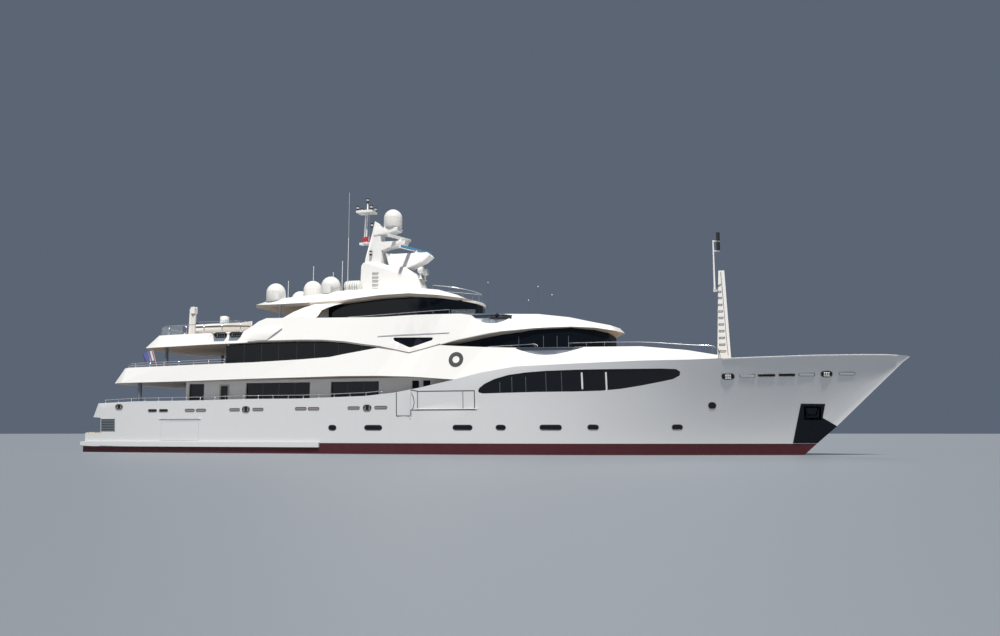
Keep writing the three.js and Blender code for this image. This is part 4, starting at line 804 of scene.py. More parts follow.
refaced("hardtop", [HOUSE_WHITE_AND_LIGHT, BEIGE_AND_SOFFIT_SHADE], "white_paint", pick=top_pick)
# The main deckhouse takes the paler house white, which lightens its walls in the shade of the deck above:
# painted light.
for name in ("main_deckhouse", "sun_deckhouse", "mast", "signal_mast", "crane_post", "crane_jib"):
    refaced(name, [HOUSE_WHITE_AND_LIGHT], "white_paint")


def corner_pick(centre, normal):
    """The upper house's aft corner posts are black like the glass beside them."""
    return 1 if centre.x < -17.3 and abs(centre.y) > 3.7 and centre.z > 5.6 else 0


refaced("upper_deckhouse", [HOUSE_WHITE_AND_LIGHT, GLASS], "white_paint", pick=corner_pick)

SHOULDER_LOW = ((-16.3, 8.30), (-14.25, 8.20))
SHOULDER_HIGH = ((-15.7, 9.16), (-13.07, 9.06))
SHOULDER_PROUD = 0.13
bridge_side = surface_of("bridge_deck_body")


def closed_body(build, front, back):
    """Two grids of corners as one body, joined round their borders."""
    borders = []
    for grid in (front, back):
        for one, two in zip(grid, grid[1:]):
            joined(build, one, two, closed=False)
        borders.append([row[0] for row in grid] + grid[-1][1:] + [row[-1] for row in grid[-2::-1]]
                       + grid[0][-2:0:-1])
    joined(build, *borders)


@both
def shoulder(build, side):
    """The swept fold on the bridge deck's side: it swells forward and ends in a crisp edge."""
    columns, rows = 14, 8
    front, back = [], []
    for i in range(columns + 1):
        s = i / columns
        low, high = ([a + (b - a) * s for a, b in zip(*edge)] for edge in (SHOULDER_LOW, SHOULDER_HIGH))
        front.append([])
        back.append([])
        for j in range(rows + 1):
            t = j / rows
            x, z = (a + (b - a) * t for a, b in zip(low, high))
            swell = SHOULDER_PROUD * math.sin(math.pi / 2 * s) * math.sin(math.pi * (0.12 + 0.62 * t))
            front[-1].append(build.verts.new(on_side(bridge_side, x, z, side, swell * min(1, 4 * s))))
            back[-1].append(build.verts.new(on_side(bridge_side, x, z, side, SUNK)))
    closed_body(build, front, back)


built("swept_shoulder", shoulder, [HOUSE_WHITE_AND_LIGHT], "white_paint")


# Ring, drip mouldings and bow caps: a plain dark ring painted on a raised band, narrow extruded drip
# edges along the bridge deck's skirt, grey-beige as the painted shadow line under it, and a half-round
# cap welded to the head of the bow's bulwark.
RING_PAINT = painted("dark_ring_paint", (0.065, 0.065, 0.07), 0.4, 0.05, 0.05)
# Painted shadow: the drip edges take this grey-beige for the shadow line under the skirt's lower edge.
SHADOW_LINE_PAINT = painted("grey_beige_painted_shadow_line", (0.17, 0.16, 0.15), 0.4, 0.1, 0.1)
RING = {"x": 0.45, "z": 6.46, "radius": 0.385, "width": 0.27}
DRIP_EDGE = (
    (-15.8, 8.13), (-14.4, 8.15), (-11.5, 8.14), (-9.8, 8.09), (-8.0, 7.93), (-6.6, 7.70), (-5.4, 7.54),
    (-4.06, 7.24), (-3.07, 7.02), (-1.9, 7.29), (-0.8, 7.59),
)
BOW_CAP = [18.2 + 0.65 * i for i in range(18)]
band_side = surface_of("upper_deck_band")
topsides = surface_of("hull_topsides")


@both
def plain_ring(build, side):
    line = [(RING["x"] + RING["radius"] * math.cos(a), RING["z"] + RING["radius"] * math.sin(a))
            for a in round_of(32)]
    lay_strip(build, band_side, line, side, RING["width"], 0.02, closed=True)


@both
def drip_mouldings(build, side):
    lay_strip(build, bridge_side, DRIP_EDGE, side, 0.06, 0.02)


def head_of_side(x, side):
    """The height at which the bulwark ends at the bow."""
    low, high = 4.5, 10.0
    while high - low > 0.005:
        middle = (low + high) / 2
        hit = topsides.ray_cast(at(x, side * OUTBOARD, middle), Vector((0, -side, 0)))[0]
        low, high = (low, middle) if hit is None or hit.y * side < 0 else (middle, high)
    return low


@both
def bow_caps(build, side):
    lay_strip(build, topsides, [(x, head_of_side(x, side) - 0.05) for x in BOW_CAP], side, 0.07, 0.035)


built("plain_ring", plain_ring, [RING_PAINT], "white_paint")
built("drip_mouldings", drip_mouldings, [SHADOW_LINE_PAINT], "white_paint")
built("bow_caps", bow_caps, [HOUSE_WHITE_AND_LIGHT], "white_paint")


# Rails: welded stainless tube on short posts, bolted along the bulwarks and round the open decks. Posts
# of aluminium carry the hardtop, painted grey-blue and darkened as painted shade, and grab rails stand
# off the bridge deck's side.
def geometry_group(name, inputs):
    """A Geometry Nodes tree with named inputs, and its input and output."""
    tree = bpy.data.node_groups.new(name, "GeometryNodeTree")
    tree.interface.new_socket("Geometry", in_out="INPUT", socket_type="NodeSocketGeometry")
    for label, kind in inputs:
        tree.interface.new_socket(label, in_out="INPUT", socket_type=kind)
    tree.interface.new_socket("Geometry", in_out="OUTPUT", socket_type="NodeSocketGeometry")
    return tree, tree.nodes.new("NodeGroupInput"), tree.nodes.new("NodeGroupOutput")


def grown(tree, mesh, values):
    """What a Geometry Nodes tree makes of a mesh, as a plain mesh."""
    carrier = bpy.data.objects.new(tree.name, mesh)
    bpy.context.scene.collection.objects.link(carrier)
    modifier = carrier.modifiers.new(tree.name, "NODES")
    modifier.node_group = tree
    for socket in tree.interface.items_tree:
        if socket.in_out == "INPUT" and socket.name in values:
            modifier[socket.identifier] = values[socket.name]
    return plain_copy(carrier)


def path_mesh(lines, closed=False):
    """Lines through points of the real yacht, as the edges of a mesh."""
    verts, edges = [], []
    for line in lines:
        first = len(verts)
        verts += [at(*point) for point in line]
        edges += [(first + i, first + i + 1) for i in range(len(line) - 1)]
        if closed:
            edges.append((len(verts) - 1, first))
    mesh = bpy.data.meshes.new("path")
    mesh.from_pydata(verts, edges, [])
    return mesh


def ring_curve(tree, sides, radius):
    """A round profile."""
    ring = node_of(tree, "GeometryNodeCurvePrimitiveCircle", {"Resolution": sides, "Radius": radius})
    return ring.outputs["Curve"]


def swept(tree, curve, profile, caps=True):
    """A profile drawn along a curve."""
    return node_of(tree, "GeometryNodeCurveToMesh", {
        "Curve": curve, "Profile Curve": profile, "Fill Caps": caps}).outputs["Mesh"]


def line_of(tree, given):
    return node_of(tree, "GeometryNodeMeshToCurve", {"Mesh": given.outputs["Geometry"]}).outputs["Curve"]


def spaced(tree, curve, spacing):
    """Points along a curve at a spacing."""
    return node_of(tree, "GeometryNodeResampleCurve", {"Curve": curve, "Length": spacing},
                   mode="LENGTH").outputs["Curve"]


def placed_at(tree, points, shape, **inputs):
    """Copies of a shape on points."""
    return node_of(tree, "GeometryNodeInstanceOnPoints", {
        "Points": points, "Instance": shape, **inputs}).outputs["Instances"]


def finished_tree(tree, given, out, geometry):
    """Ends a tree with real, smooth geometry in the given material."""
    real = node_of(tree, "GeometryNodeRealizeInstances", {"Geometry": geometry})
    smooth = node_of(tree, "GeometryNodeSetShadeSmooth", {"Geometry": real.outputs["Geometry"]})
    coated = node_of(tree, "GeometryNodeSetMaterial", {
        "Geometry": smooth.outputs["Geometry"], "Material": given.outputs["Material"]})
    feed(tree, out, Geometry=coated.outputs["Geometry"])
    return tree


def tube_tree():
    """A round tube along each line, closed at its ends."""
    tree, given, out = geometry_group("tube_along_edges", [
        ("Radius", "NodeSocketFloat"), ("Sides", "NodeSocketInt"), ("Material", "NodeSocketMaterial")])
    profile = ring_curve(tree, given.outputs["Sides"], given.outputs["Radius"])
    return finished_tree(tree, given, out, swept(tree, line_of(tree, given), profile))


def rail_tree():
    """A guard rail over a line: posts at a spacing, and one or more tubes above it."""
    tree, given, out = geometry_group("guard_rail", [
        ("Height", "NodeSocketFloat"), ("Rails", "NodeSocketInt"), ("Spacing", "NodeSocketFloat"),
        ("Radius", "NodeSocketFloat"), ("Material", "NodeSocketMaterial")])
    line = line_of(tree, given)
    height, rails, radius = (given.outputs[label] for label in ("Height", "Rails", "Radius"))
    post = node_of(tree, "GeometryNodeMeshCylinder", {"Vertices": 8, "Radius": radius, "Depth": height})
    lift = node_of(tree, "ShaderNodeCombineXYZ", {"Z": reckoned(tree, "MULTIPLY", height, 0.5)})
    standing = node_of(tree, "GeometryNodeTransform", {
        "Geometry": post.outputs["Mesh"], "Translation": lift.outputs[0]})
    posts = placed_at(tree, spaced(tree, line, given.outputs["Spacing"]), standing.outputs["Geometry"])
    copies = node_of(tree, "GeometryNodeDuplicateElements", {"Geometry": line, "Amount": rails},
                     domain="SPLINE")
    share = reckoned(tree, "DIVIDE", reckoned(tree, "ADD", copies.outputs["Duplicate Index"], 1.0), rails)
    up = node_of(tree, "ShaderNodeCombineXYZ", {"Z": reckoned(tree, "MULTIPLY", share, height)})
    raised = node_of(tree, "GeometryNodeSetPosition", {
        "Geometry": copies.outputs["Geometry"], "Offset": up.outputs[0]})
    both_parts = node_of(tree, "GeometryNodeJoinGeometry")
    feed(tree, both_parts, Geometry=swept(tree, raised.outputs["Geometry"], ring_curve(tree, 8, radius)))
    feed(tree, both_parts, Geometry=posts)
    return finished_tree(tree, given, out, both_parts.outputs["Geometry"])


TUBES = tube_tree()
GUARD_RAIL = rail_tree()
RAIL_RADIUS = 0.028


def tubes(name, lines, radius, material, slot, sides=8, closed=False):
    mesh = grown(TUBES, path_mesh(lines, closed), {
        "Radius": radius * MODEL, "Sides": sides, "Material": material})
    return placed(name, mesh, "hull", slot)


def guard_rail(name, lines, height, rails, spacing):
    mesh = grown(GUARD_RAIL, path_mesh(lines), {
        "Height": height * MODEL, "Rails": rails, "Spacing": spacing * MODEL, "Radius": RAIL_RADIUS * MODEL,
        "Material": STEEL})
    return placed(name, mesh, "hull", "stainless_steel")


def both_sides(line):
    """A line on the port side, and the same on the starboard side."""
    return [[(x, side * y, z) for x, y, z in line] for _, side in SIDES]


def round_stern(line):
    """One line from starboard round the stern to port; the half line starts on the centreline."""
    return [[(x, -y, z) for x, y, z in reversed(line)] + [(x, y, z) for x, y, z in line[1:]]]


MAIN_BULWARK = (
    (-27.8, 4.62, 3.71), (-24.8, 4.78, 3.82), (-19.1, 4.93, 3.84), (-15.7, 4.99, 3.90), (-11.2, 5.04, 3.89),
    (-8.6, 5.06, 3.95), (-6.1, 5.06, 4.02), (-4.9, 5.06, 4.12),
)
UPPER_BULWARK = (
    (-26.92, 0.0, 6.34), (-26.87, 1.5, 6.34), (-26.75, 2.93, 6.34), (-26.52, 3.84, 6.35),
    (-26.24, 4.20, 6.37), (-25.70, 4.44, 6.40), (-23.2, 4.60, 6.44), (-20.4, 4.71, 6.49), (-17.6, 4.76, 6.54),
)
SUN_BULWARK = (
    (-24.36, 0.0, 8.85), (-24.32, 1.45, 8.85), (-24.2, 2.6, 8.86), (-24.02, 3.45, 8.87), (-23.69, 3.83, 8.88),
    (-22.85, 3.98, 8.88), (-21.7, 4.03, 8.89), (-19.2, 4.12, 8.92), (-16.7, 4.18, 8.96),
)

guard_rail("main_deck_rail", both_sides(MAIN_BULWARK), 0.25, 1, 1.15)
guard_rail("upper_deck_rail", round_stern(UPPER_BULWARK), 0.34, 2, 1.3)
guard_rail("sun_deck_rail", round_stern(SUN_BULWARK), 0.72, 1, 1.55)

SUN_FORE_RAIL = (
    (-8.0, 4.2, 9.76), (-6.9, 4.2, 9.80), (-5.3, 4.2, 9.86), (-4.0, 4.2, 9.91), (-2.75, 4.2, 9.96),
    (-1.5, 4.19, 10.01), (-0.3, 4.16, 10.05),
)
FOREDECK_RAIL = (
    (8.2, 4.3, 7.46), (10.6, 4.25, 7.47), (12.95, 4.2, 7.42), (14.2, 4.12, 7.34), (15.4, 4.04, 7.23),
    (16.5, 3.98, 7.14), (17.6, 3.94, 7.08), (17.95, 3.9, 6.85), (18.05, 3.88, 6.45),
)
BELT_RAIL = (
    (2.55, 4.57, 7.28), (2.75, 4.56, 7.33), (4.3, 4.53, 7.38), (5.94, 4.50, 7.43), (6.1, 4.5, 7.30),
)
GRAB_RAIL = ((-5.46, 8.25), (-4.3, 8.29), (-3.06, 8.32), (-1.6, 8.35), (-0.22, 8.37))
HOOP_RAIL = (
    (-2.41, 1.62, 12.28), (-1.15, 1.5, 12.12), (-0.2, 1.25, 11.96), (0.42, 0.9, 11.83), (0.78, 0.45, 11.72),
    (0.9, 0.0, 11.68),
)
decks_top = surface_of("upper_deck_band", "bridge_deck_body", "hardtop", "hull_topsides")


def down_to_deck(x, y, z):
    """The line from a place on a rail down to what carries it."""
    point, _, _, _ = decks_top.ray_cast(at(x, y, z), Vector((0, 0, -1)))
    return [(x, y, z), (x, y, z - 0.3) if point is None else tuple(point / MODEL)]


def between(line, spacing):
    """Places at a spacing along a line."""
    points = []
    for start, end in zip(line, line[1:]):
        a, b = Vector(start), Vector(end)
        count = max(1, round((b - a).length / spacing))
        points += [tuple(a.lerp(b, i / count)) for i in range(count)]
    return points + [line[-1]]


RAIL_TUBE = 0.026
THIN_TUBE = 0.02
HARDTOP_POST = 0.095
POST_SPACING = 1.4
SHORTEST_POST = 0.04
upper_rails = both_sides(SUN_FORE_RAIL) + both_sides(FOREDECK_RAIL) + both_sides(BELT_RAIL)
upper_rails += round_stern(HOOP_RAIL[::-1])
rail_feet = [down_to_deck(*point) for line in upper_rails for point in between(line, POST_SPACING)]
tubes("upper_rails", upper_rails, RAIL_TUBE, STEEL, "stainless_steel")
tubes("upper_rail_posts", [foot for foot in rail_feet if foot[0][2] - foot[1][2] > SHORTEST_POST], THIN_TUBE,
      STEEL, "stainless_steel", sides=6)
tubes("hardtop_posts", both_sides([(-14.0, 3.2, 8.42), (-14.0, 3.2, 10.95)]), HARDTOP_POST, GREY_PAINT_AND_POST_SHADE,
      "white_paint", sides=12)

side_grips = []
for _, side in SIDES:
    line, feet = ([tuple(on_side(bridge_side, x, z, side, proud) / MODEL) for x, z in GRAB_RAIL]
                  for proud in (0.04, -0.01))
    side_grips += [[feet[0], *line, feet[-1]], [feet[2], line[2]]]
tubes("side_grab_rails", side_grips, THIN_TUBE, STEEL, "stainless_steel", sides=6)


# Windbreaks: clear toughened panes clamped between the sun deck's rail posts aft, and a low glass
# screen before the sun well, with a film of dried salt.
def clear_glass():
    material, tree, shader = new_material("clear_windbreak_glass", (0.72, 0.80, 0.84), 0.03,
                                          Transmission_Weight=0.9, IOR=1.45)
    feed(tree, shader, Roughness=ranged(tree, noise(tree, 14.0, Detail=6.0), 0.4, 0.8, 0.02, 0.25))
    return material


CLEAR_GLASS = clear_glass()
PANE_THICK = 0.016


def upright_pane(build, start, end, low, high):
    """A pane standing over the line from start to end."""
    across = (Vector(end) - Vector(start)).cross(Vector((0, 0, 1))).normalized() * (PANE_THICK / 2)
    corners = [build.verts.new(at(*(Vector(foot) + across * sign + Vector((0, 0, lift)))))
               for sign in (-1, 1) for foot, lift in ((start, low), (end, low), (end, high), (start, high))]
    for quad in ((0, 1, 2, 3), (4, 5, 6, 7), (0, 1, 5, 4), (1, 2, 6, 5), (2, 3, 7, 6), (3, 0, 4, 7)):
        build.faces.new([corners[i] for i in quad])


WIND_SCREEN = ((-0.2, 4.14, 9.74), (0.9, 4.1, 9.73), (1.55, 3.95, 9.73))


@both
def windbreaks(build, side):
    for line, low, high in ((SUN_BULWARK[:7], 0.04, 0.68), (WIND_SCREEN, 0.0, 0.30)):
        for start, end in zip(line, line[1:]):
            a, b = (Vector((x, side * y, z)) for x, y, z in (start, end))
            count = max(1, round((b - a).length))
            for i in range(count):
                upright_pane(build, a.lerp(b, (i + 0.02) / count), a.lerp(b, (i + 0.98) / count), low, high)


built("windbreak_panes", windbreaks, [CLEAR_GLASS], "dark_glass")


# Dishes' fittings: black cast fairleads with steel rollers in the side dishes, and in the roof dish a
# black bar with a lamp, screwed to the plating.
BLACK_PLASTIC = plastic("black_moulded_plastic", (0.018, 0.018, 0.020), 0.35, 90.0)
SIDE_FAIRLEADS = ((-18.28, 8.74, 0.98, 0.30), (-17.0, 8.74, 0.92, 0.30))
ROOF_LAMP = ((2.62, 9.47), (4.14, 9.40))


@both
def dish_fittings(build, side):
    for x, z, width, height in SIDE_FAIRLEADS:
        lay_fitting(build, bridge_side, x, z, width, height, side, FAIRLEAD_RIM)
        for offset in (-0.3, -0.1, 0.1, 0.3):
            upright_roller(build, bridge_side, x + offset, z, side, 0.02, 8)


@both
def roof_lamps(build, side):
    lay_strip(build, bridge_side, ROOF_LAMP, side, 0.16, 0.10)
    turn(build, on_side(bridge_side, 3.1, 9.5, side, 0.1), ((0.12, 0.0), (0.12, 0.12), (0.05, 0.18)))


built("side_dish_fairleads", dish_fittings, [BLACK_PLASTIC, DEEP_SHADE_PANE, STEEL], "dark_glass")
built("roof_dish_lamps", roof_lamps, [BLACK_PLASTIC], "dark_glass")


# Satellite domes and radome: moulded glass fibre shells in a white gel coat. Each stands on a collar
# and is bolted together at a seam.
DOME_PAINT = painted("moulded_dome_paint", (0.82, 0.81, 0.78), 0.35, 0.10, 0.18, wave=0.2)
DOME_SEAM = 0.009
DOMES = ("mast_radome", *[f"satellite_dome_{number}" for number in range(1, 6)])
for name in DOMES:
    refaced(name, [DOME_PAINT], "white_paint", sharp_degrees=50)


def dome_seams():
    rings = []
    for name in DOMES:
        low, high = (Vector(corner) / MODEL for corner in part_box(name))
        radius = (high.x - low.x) / 2
        middle = (low + high) / 2
        foot = high.z - 2 * radius
        belt = (high.z - radius - 0.02, radius)
        collar = (max(foot + 0.35, low.z + 0.3), radius - 0.03)
        for level, reach in (belt, collar):
            rings.append([(middle.x + reach * math.cos(a), middle.y + reach * math.sin(a), level)
                          for a in round_of(28)])
    return rings


tubes("dome_seams", dome_seams(), DOME_SEAM, SLAT_SHADE_AND_SEAM_GREY, "white_paint", sides=6, closed=True)


# Mast, foremast and radars: welded aluminium fins with staple rungs, and open array scanners in
# moulded housings, the lower one with a blue face.
SCANNER_BLUE = plastic("blue_scanner_face", (0.10, 0.30, 0.52), 0.35, 60.0)
refaced("radar_low", [DOME_PAINT, SCANNER_BLUE], "white_paint",
        pick=lambda centre, normal: 1 if normal.x > 0.7 and centre.z > 15.2 else 0)
refaced("radar_high", [DOME_PAINT], "white_paint")


def lantern_pick(centre, normal):
    """The foremast's lantern and its cap are black."""
    in_lantern = 14.12 < centre.z < 14.7 or centre.z > 14.83
    return 1 if in_lantern and abs(centre.x - 18.07) < 0.16 else 0


refaced("foremast", [HOUSE_WHITE_AND_LIGHT, BLACK_PLASTIC], "white_paint", pick=lantern_pick)

RUNG_PROUD = 0.05
RUNG_LEVELS = (12.01, 12.32, 12.64, 12.95, 13.24, 13.55)
FOREMAST_RUNGS = (7.05, 7.51, 7.98, 8.45, 8.91, 9.37, 9.82, 10.28, 10.76, 11.19, 11.68)


def rungs(tree, levels, span):
    """Staple rungs, each let into the face of a mast at both ends."""
    lines = []
    for _, side in SIDES:
        for z in levels:
            fore, aft = span(z)
            ends = [on_side(tree, x, z, side) / MODEL for x in (fore, aft)]
            outs = [end + Vector((0, side * RUNG_PROUD, 0)) for end in ends]
            lines.append([tuple(point) for point in (ends[0], outs[0], outs[1], ends[1])])
    return lines


tubes("mast_rungs", rungs(surface_of("mast"), RUNG_LEVELS, lambda z: (-7.6, -7.15)), 0.030, RIM_STEEL,
      "stainless_steel")
tubes("foremast_rungs", rungs(surface_of("foremast"), FOREMAST_RUNGS, lambda z: (
    18.37 - (z - 7.0) * 0.045, 17.96 + (z - 7.0) * 0.005)), 0.028, RIM_STEEL, "stainless_steel")
FOREMAST_EDGE = ((18.52, 6.7), (18.43, 8.0), (18.28, 11.0), (18.18, 12.55))
tubes("foremast_edges", both_sides([(x, 0.33 - (z - 6) * 0.018, z) for x, z in FOREMAST_EDGE]), 0.02,
      GREY_PAINT_AND_POST_SHADE, "white_paint", sides=6)


# Lamps and searchlights: black moulded navigation lamps with frosted lenses on short arms of the mast
# and signal mast, and two white searchlights on turned pedestals on the mast's platform.
LAMP_GLASS = plastic("frosted_lamp_glass", (0.55, 0.56, 0.55), 0.2, 50.0)
LAMP_BODY = (
    (0.05, 0.0), (0.12, 0.03), (0.12, 0.10), (0.10, 0.12), (0.10, 0.28), (0.12, 0.30), (0.12, 0.36),
    (0.04, 0.40),
)
LENS_RING = ((0.103, 0.0), (0.106, 0.07), (0.103, 0.14))
LAMP_PAIRS = ((-7.92, 0.3, 17.2), (-7.85, 0.62, 14.96), (-9.1, 0.42, 18.62), (-7.95, 0.42, 18.62))
TOP_LAMP = (-8.45, 0.0, 19.3)
LAMP_ARMS = (((-7.4, 0.3, 17.22), (-7.92, 0.3, 17.22)), ((-7.85, 0.4, 14.97), (-7.85, 0.62, 14.97)))


def navigation_lamps(build):
    for x, y, z in sum(both_sides(LAMP_PAIRS), [TOP_LAMP]):
        turn(build, at(x, y, z), LAMP_BODY)
        turn(build, at(x, y, z + 0.13), LENS_RING, 12, 1)


built("navigation_lamps", navigation_lamps, [BLACK_PLASTIC, LAMP_GLASS], "dark_glass")
tubes("lamp_arms", [arm for pair in LAMP_ARMS for arm in both_sides(pair)], 0.03, HOUSE_WHITE_AND_LIGHT, "white_paint")

SEARCHLIGHT_AT = (-3.81, 0.5, 13.0)
PEDESTAL = ((0.16, 0.0), (0.12, 0.05), (0.07, 0.08), (0.07, 0.42))
BARREL = ((0.10, 0.0), (0.20, 0.05), (0.24, 0.18), (0.25, 0.42), (0.26, 0.44))
BARREL_LENS = ((0.22, 0.0), (0.22, 0.045))
BEAM = (1, 0, 0.12)


@both
def searchlight(build, side):
    x, y, z = SEARCHLIGHT_AT
    turn(build, at(x, side * y, z), PEDESTAL, 14)
    turn(build, at(x - 0.22, side * y, z + 0.62), BARREL, 18, axis=BEAM)
    turn(build, at(x + 0.2, side * y, z + 0.67), BARREL_LENS, 18, 1, BEAM)


built("searchlights", searchlight, [DOME_PAINT, LAMP_GLASS], "white_paint")


# Aerials: glass fibre whips, pale on the hardtop and dark over the bridge. Each is screwed into a
# base and ends in a small cap, and one carries a thinner top length.
WHIPS = (
    ((-15.1, 0, 11.5), 13.33), ((-13.4, 0.9, 11.7), 14.60), ((-12.2, 2.0, 11.7), 14.24),
    ((-9.31, -2.5, 11.9), 14.19), ((-8.86, -2.5, 11.9), 15.9), ((1.9, -2.0, 9.6), 12.2),
    ((4.9, -2.0, 9.6), 10.8), ((5.6, -2.0, 9.6), 11.75), ((6.6, -2.0, 9.5), 11.12),
)
PALE_WHIPS = 5
WHIP_CAP = 0.035
TOP_LENGTH = ((-8.86, -2.5, 15.85), (-8.86, -2.5, 19.5))
whip_lines = [[foot, (foot[0], foot[1], top)] for foot, top in WHIPS]
tubes("mast_whips", whip_lines[:PALE_WHIPS], 0.026, DOME_PAINT, "white_paint", sides=6)
tubes("bridge_whips", whip_lines[PALE_WHIPS:], 0.022, SEAM_PAINT, "dark_glass", sides=6)
tubes("whip_bases", [[(x, y, z - 0.15), (x, y, z + 0.1)] for (x, y, z), _ in WHIPS], WHIP_CAP, DOME_PAINT,
      "white_paint")
tubes("whip_tips", [[(x, y, top - 0.02), (x, y, top + 0.06)] for (x, y, _), top in WHIPS], WHIP_CAP,
      DOME_PAINT, "white_paint")
tubes("long_whip", [TOP_LENGTH], 0.011, DOME_PAINT, "white_paint", sides=6)


# Life rafts: one on each side of the hardtop, packed in a ribbed canister of moulded glass fibre that
# lies strapped in a cradle of steel tube.
RAFT_AT = (-9.25, 2.0, 12.38)
CANISTER = ((0.20, 0.0), (0.38, 0.05), (0.43, 0.16), (0.43, 1.10), (0.38, 1.21), (0.20, 1.26))
RIB = ((0.42, 0.0), (0.445, 0.008), (0.445, 0.026), (0.42, 0.034))
RIB_PITCH = 0.185
FORE_AND_AFT = (1, 0, 0)


@both
def raft_canister(build, side):
    x, y, z = RAFT_AT
    turn(build, at(x, side * y, z), CANISTER, 20, axis=FORE_AND_AFT)
    for rib in range(6):
        turn(build, at(x + 0.14 + RIB_PITCH * rib, side * y, z), RIB, 20, 1, FORE_AND_AFT)


built("raft_canisters", raft_canister, [DOME_PAINT, GREY_PAINT_AND_POST_SHADE], "white_paint")
tubes("raft_cradles", [[(x, side * 2.0 + s * 0.33, 11.85), (x, side * 2.0 + s * 0.25, 12.15)]
                       for _, side in SIDES for x in (-9.0, -8.2) for s in (-1, 1)], 0.03, STEEL,
      "stainless_steel")


# Teak decks: narrow planks laid fore and aft and glued to the steel, caulked with black rubber and
# silvered by salt and sun. Each plank has its own tone.
PLANK = 0.12
CAULK = 0.010
WET_TEAK = (0.30, 0.20, 0.11, 1)
SILVER_TEAK = (0.52, 0.41, 0.29, 1)
CAULK_BLACK = (0.012, 0.012, 0.012, 1)


def teak_material():
    material, tree, shader = new_material("caulked_teak", (0.40, 0.29, 0.18), 0.65)
    place = node_of(tree, "ShaderNodeTexCoord")
    parts = node_of(tree, "ShaderNodeSeparateXYZ", {0: place.outputs["Object"]})
    across = reckoned(tree, "DIVIDE", parts.outputs["Y"], PLANK * MODEL)
    seam = reckoned(tree, "LESS_THAN", reckoned(tree, "FRACT", across), CAULK / PLANK)
    tone = node_of(tree, "ShaderNodeTexWhiteNoise", {"W": reckoned(tree, "FLOOR", across)},
                   noise_dimensions="1D")
    grain = noise(tree, 2.0, stretched(tree, (1.5, 60.0, 1.0)), Detail=8.0)
    ramp = node_of(tree, "ShaderNodeValToRGB", {"Fac": reckoned(tree, "ADD", grain, tone.outputs["Value"])})
    for element, position, colour in zip(ramp.color_ramp.elements, (0.3, 1.3 / 1.5), (WET_TEAK, SILVER_TEAK)):
        element.position = position
        element.color = colour
    caulked = node_of(tree, "ShaderNodeMix", {
        "Factor": seam, 6: ramp.outputs["Color"], 7: CAULK_BLACK}, data_type="RGBA")
    feed(tree, shader, Base_Color=caulked.outputs[2],
         Normal=bump(tree, reckoned(tree, "SUBTRACT", grain, seam), 0.002))
    return material


TEAK = teak_material()
for name in ("platform_teak", "main_deck_teak", "upper_deck_teak", "sun_deck_teak"):
    refaced(name, [TEAK], "teak")


# Lobby doors: glazed aluminium doors in beige frames with a steel handle, let into the sides of the
# main deckhouse.
def box_of(build, low, high, material=0):
    """A plain block of a fitting, from its low to its high corner."""
    corners = [build.verts.new(at(x, y, z)) for x in (low[0], high[0]) for y in (low[1], high[1])
               for z in (low[2], high[2])]
    for quad in ((0, 1, 3, 2), (4, 6, 7, 5), (0, 4, 5, 1), (2, 3, 7, 6), (0, 2, 6, 4), (1, 5, 7, 3)):
        build.faces.new([corners[i] for i in quad]).material_index = material


LOBBY = {"aft": -18.42, "fore": -17.62, "low": 2.84, "high": 5.04, "stile": 0.11, "face": 3.9}


@both
def lobby_doors(build, side):
    aft, fore, low, high, stile, face = LOBBY.values()
    inner, outer = aft + stile, fore - stile
    for x0, x1, z0, z1, y0, y1, material in (
            (aft, inner, low, high, face - 0.03, face + 0.03, 0),
            (outer, fore, low, high, face - 0.03, face + 0.03, 0),
            (inner, outer, high - stile, high, face - 0.03, face + 0.03, 0),
            (inner, outer, low, low + stile, face - 0.03, face + 0.03, 0),
            (inner, outer, low + stile, high - stile, face - 0.03, face + 0.012, 1),
            (fore - 0.28, fore - 0.25, 3.75, 4.25, face + 0.01, face + 0.06, 2)):
        near, far = sorted((side * y0, side * y1))
        box_of(build, (x0, near, z0), (x1, far, z1), material)


built("lobby_doors", lobby_doors, [BEIGE_AND_SOFFIT_SHADE, GLASS, STEEL], "dark_glass")


# Mooring gear: forged bollards in pairs on base plates, drum capstans fore and aft, and the anchor
# chains from the windlasses to their pipes. All of it is polished steel, bolted to the decks.
BOLLARD_POST = (
    (0.13, 0.0), (0.12, 0.03), (0.09, 0.08), (0.09, 0.42), (0.15, 0.46), (0.15, 0.52), (0.08, 0.55),
)
CAPSTAN = (
    (0.34, 0.0), (0.34, 0.10), (0.26, 0.14), (0.22, 0.20), (0.17, 0.40), (0.20, 0.56), (0.27, 0.62),
    (0.27, 0.66), (0.12, 0.70),
)
MAIN_FLOOR = 2.78
BOW_FLOOR = 5.45
BOLLARDS = (
    (-25.6, 3.95, MAIN_FLOOR), (-15.4, 4.35, MAIN_FLOOR), (19.6, 2.2, BOW_FLOOR), (22.6, 1.6, BOW_FLOOR),
)
CAPSTANS = ((-24.6, 3.55, MAIN_FLOOR), (21.2, 1.2, BOW_FLOOR))
gear_floor = surface_of("hull_topsides", "main_deck_teak")


def floor_under(x, y, z):
    """The height of the deck under a place."""
    hit, _, _, _ = gear_floor.ray_cast(at(x, y, z + 0.6), Vector((0, 0, -1)))
    return z if hit is None else hit.z / MODEL


@both
def mooring_gear(build, side):
    for x, y, z in BOLLARDS:
        deck = floor_under(x, side * y, z)
        box_of(build, (x - 0.42, side * y - 0.16, deck), (x + 0.42, side * y + 0.16, deck + 0.035))
        for offset in (-0.24, 0.24):
            turn(build, at(x + offset, side * y, deck + 0.03), BOLLARD_POST, 16)
    for x, y, z in CAPSTANS:
        turn(build, at(x, side * y, floor_under(x, side * y, z)), CAPSTAN, 20)


built("mooring_gear", mooring_gear, [STEEL], "stainless_steel")


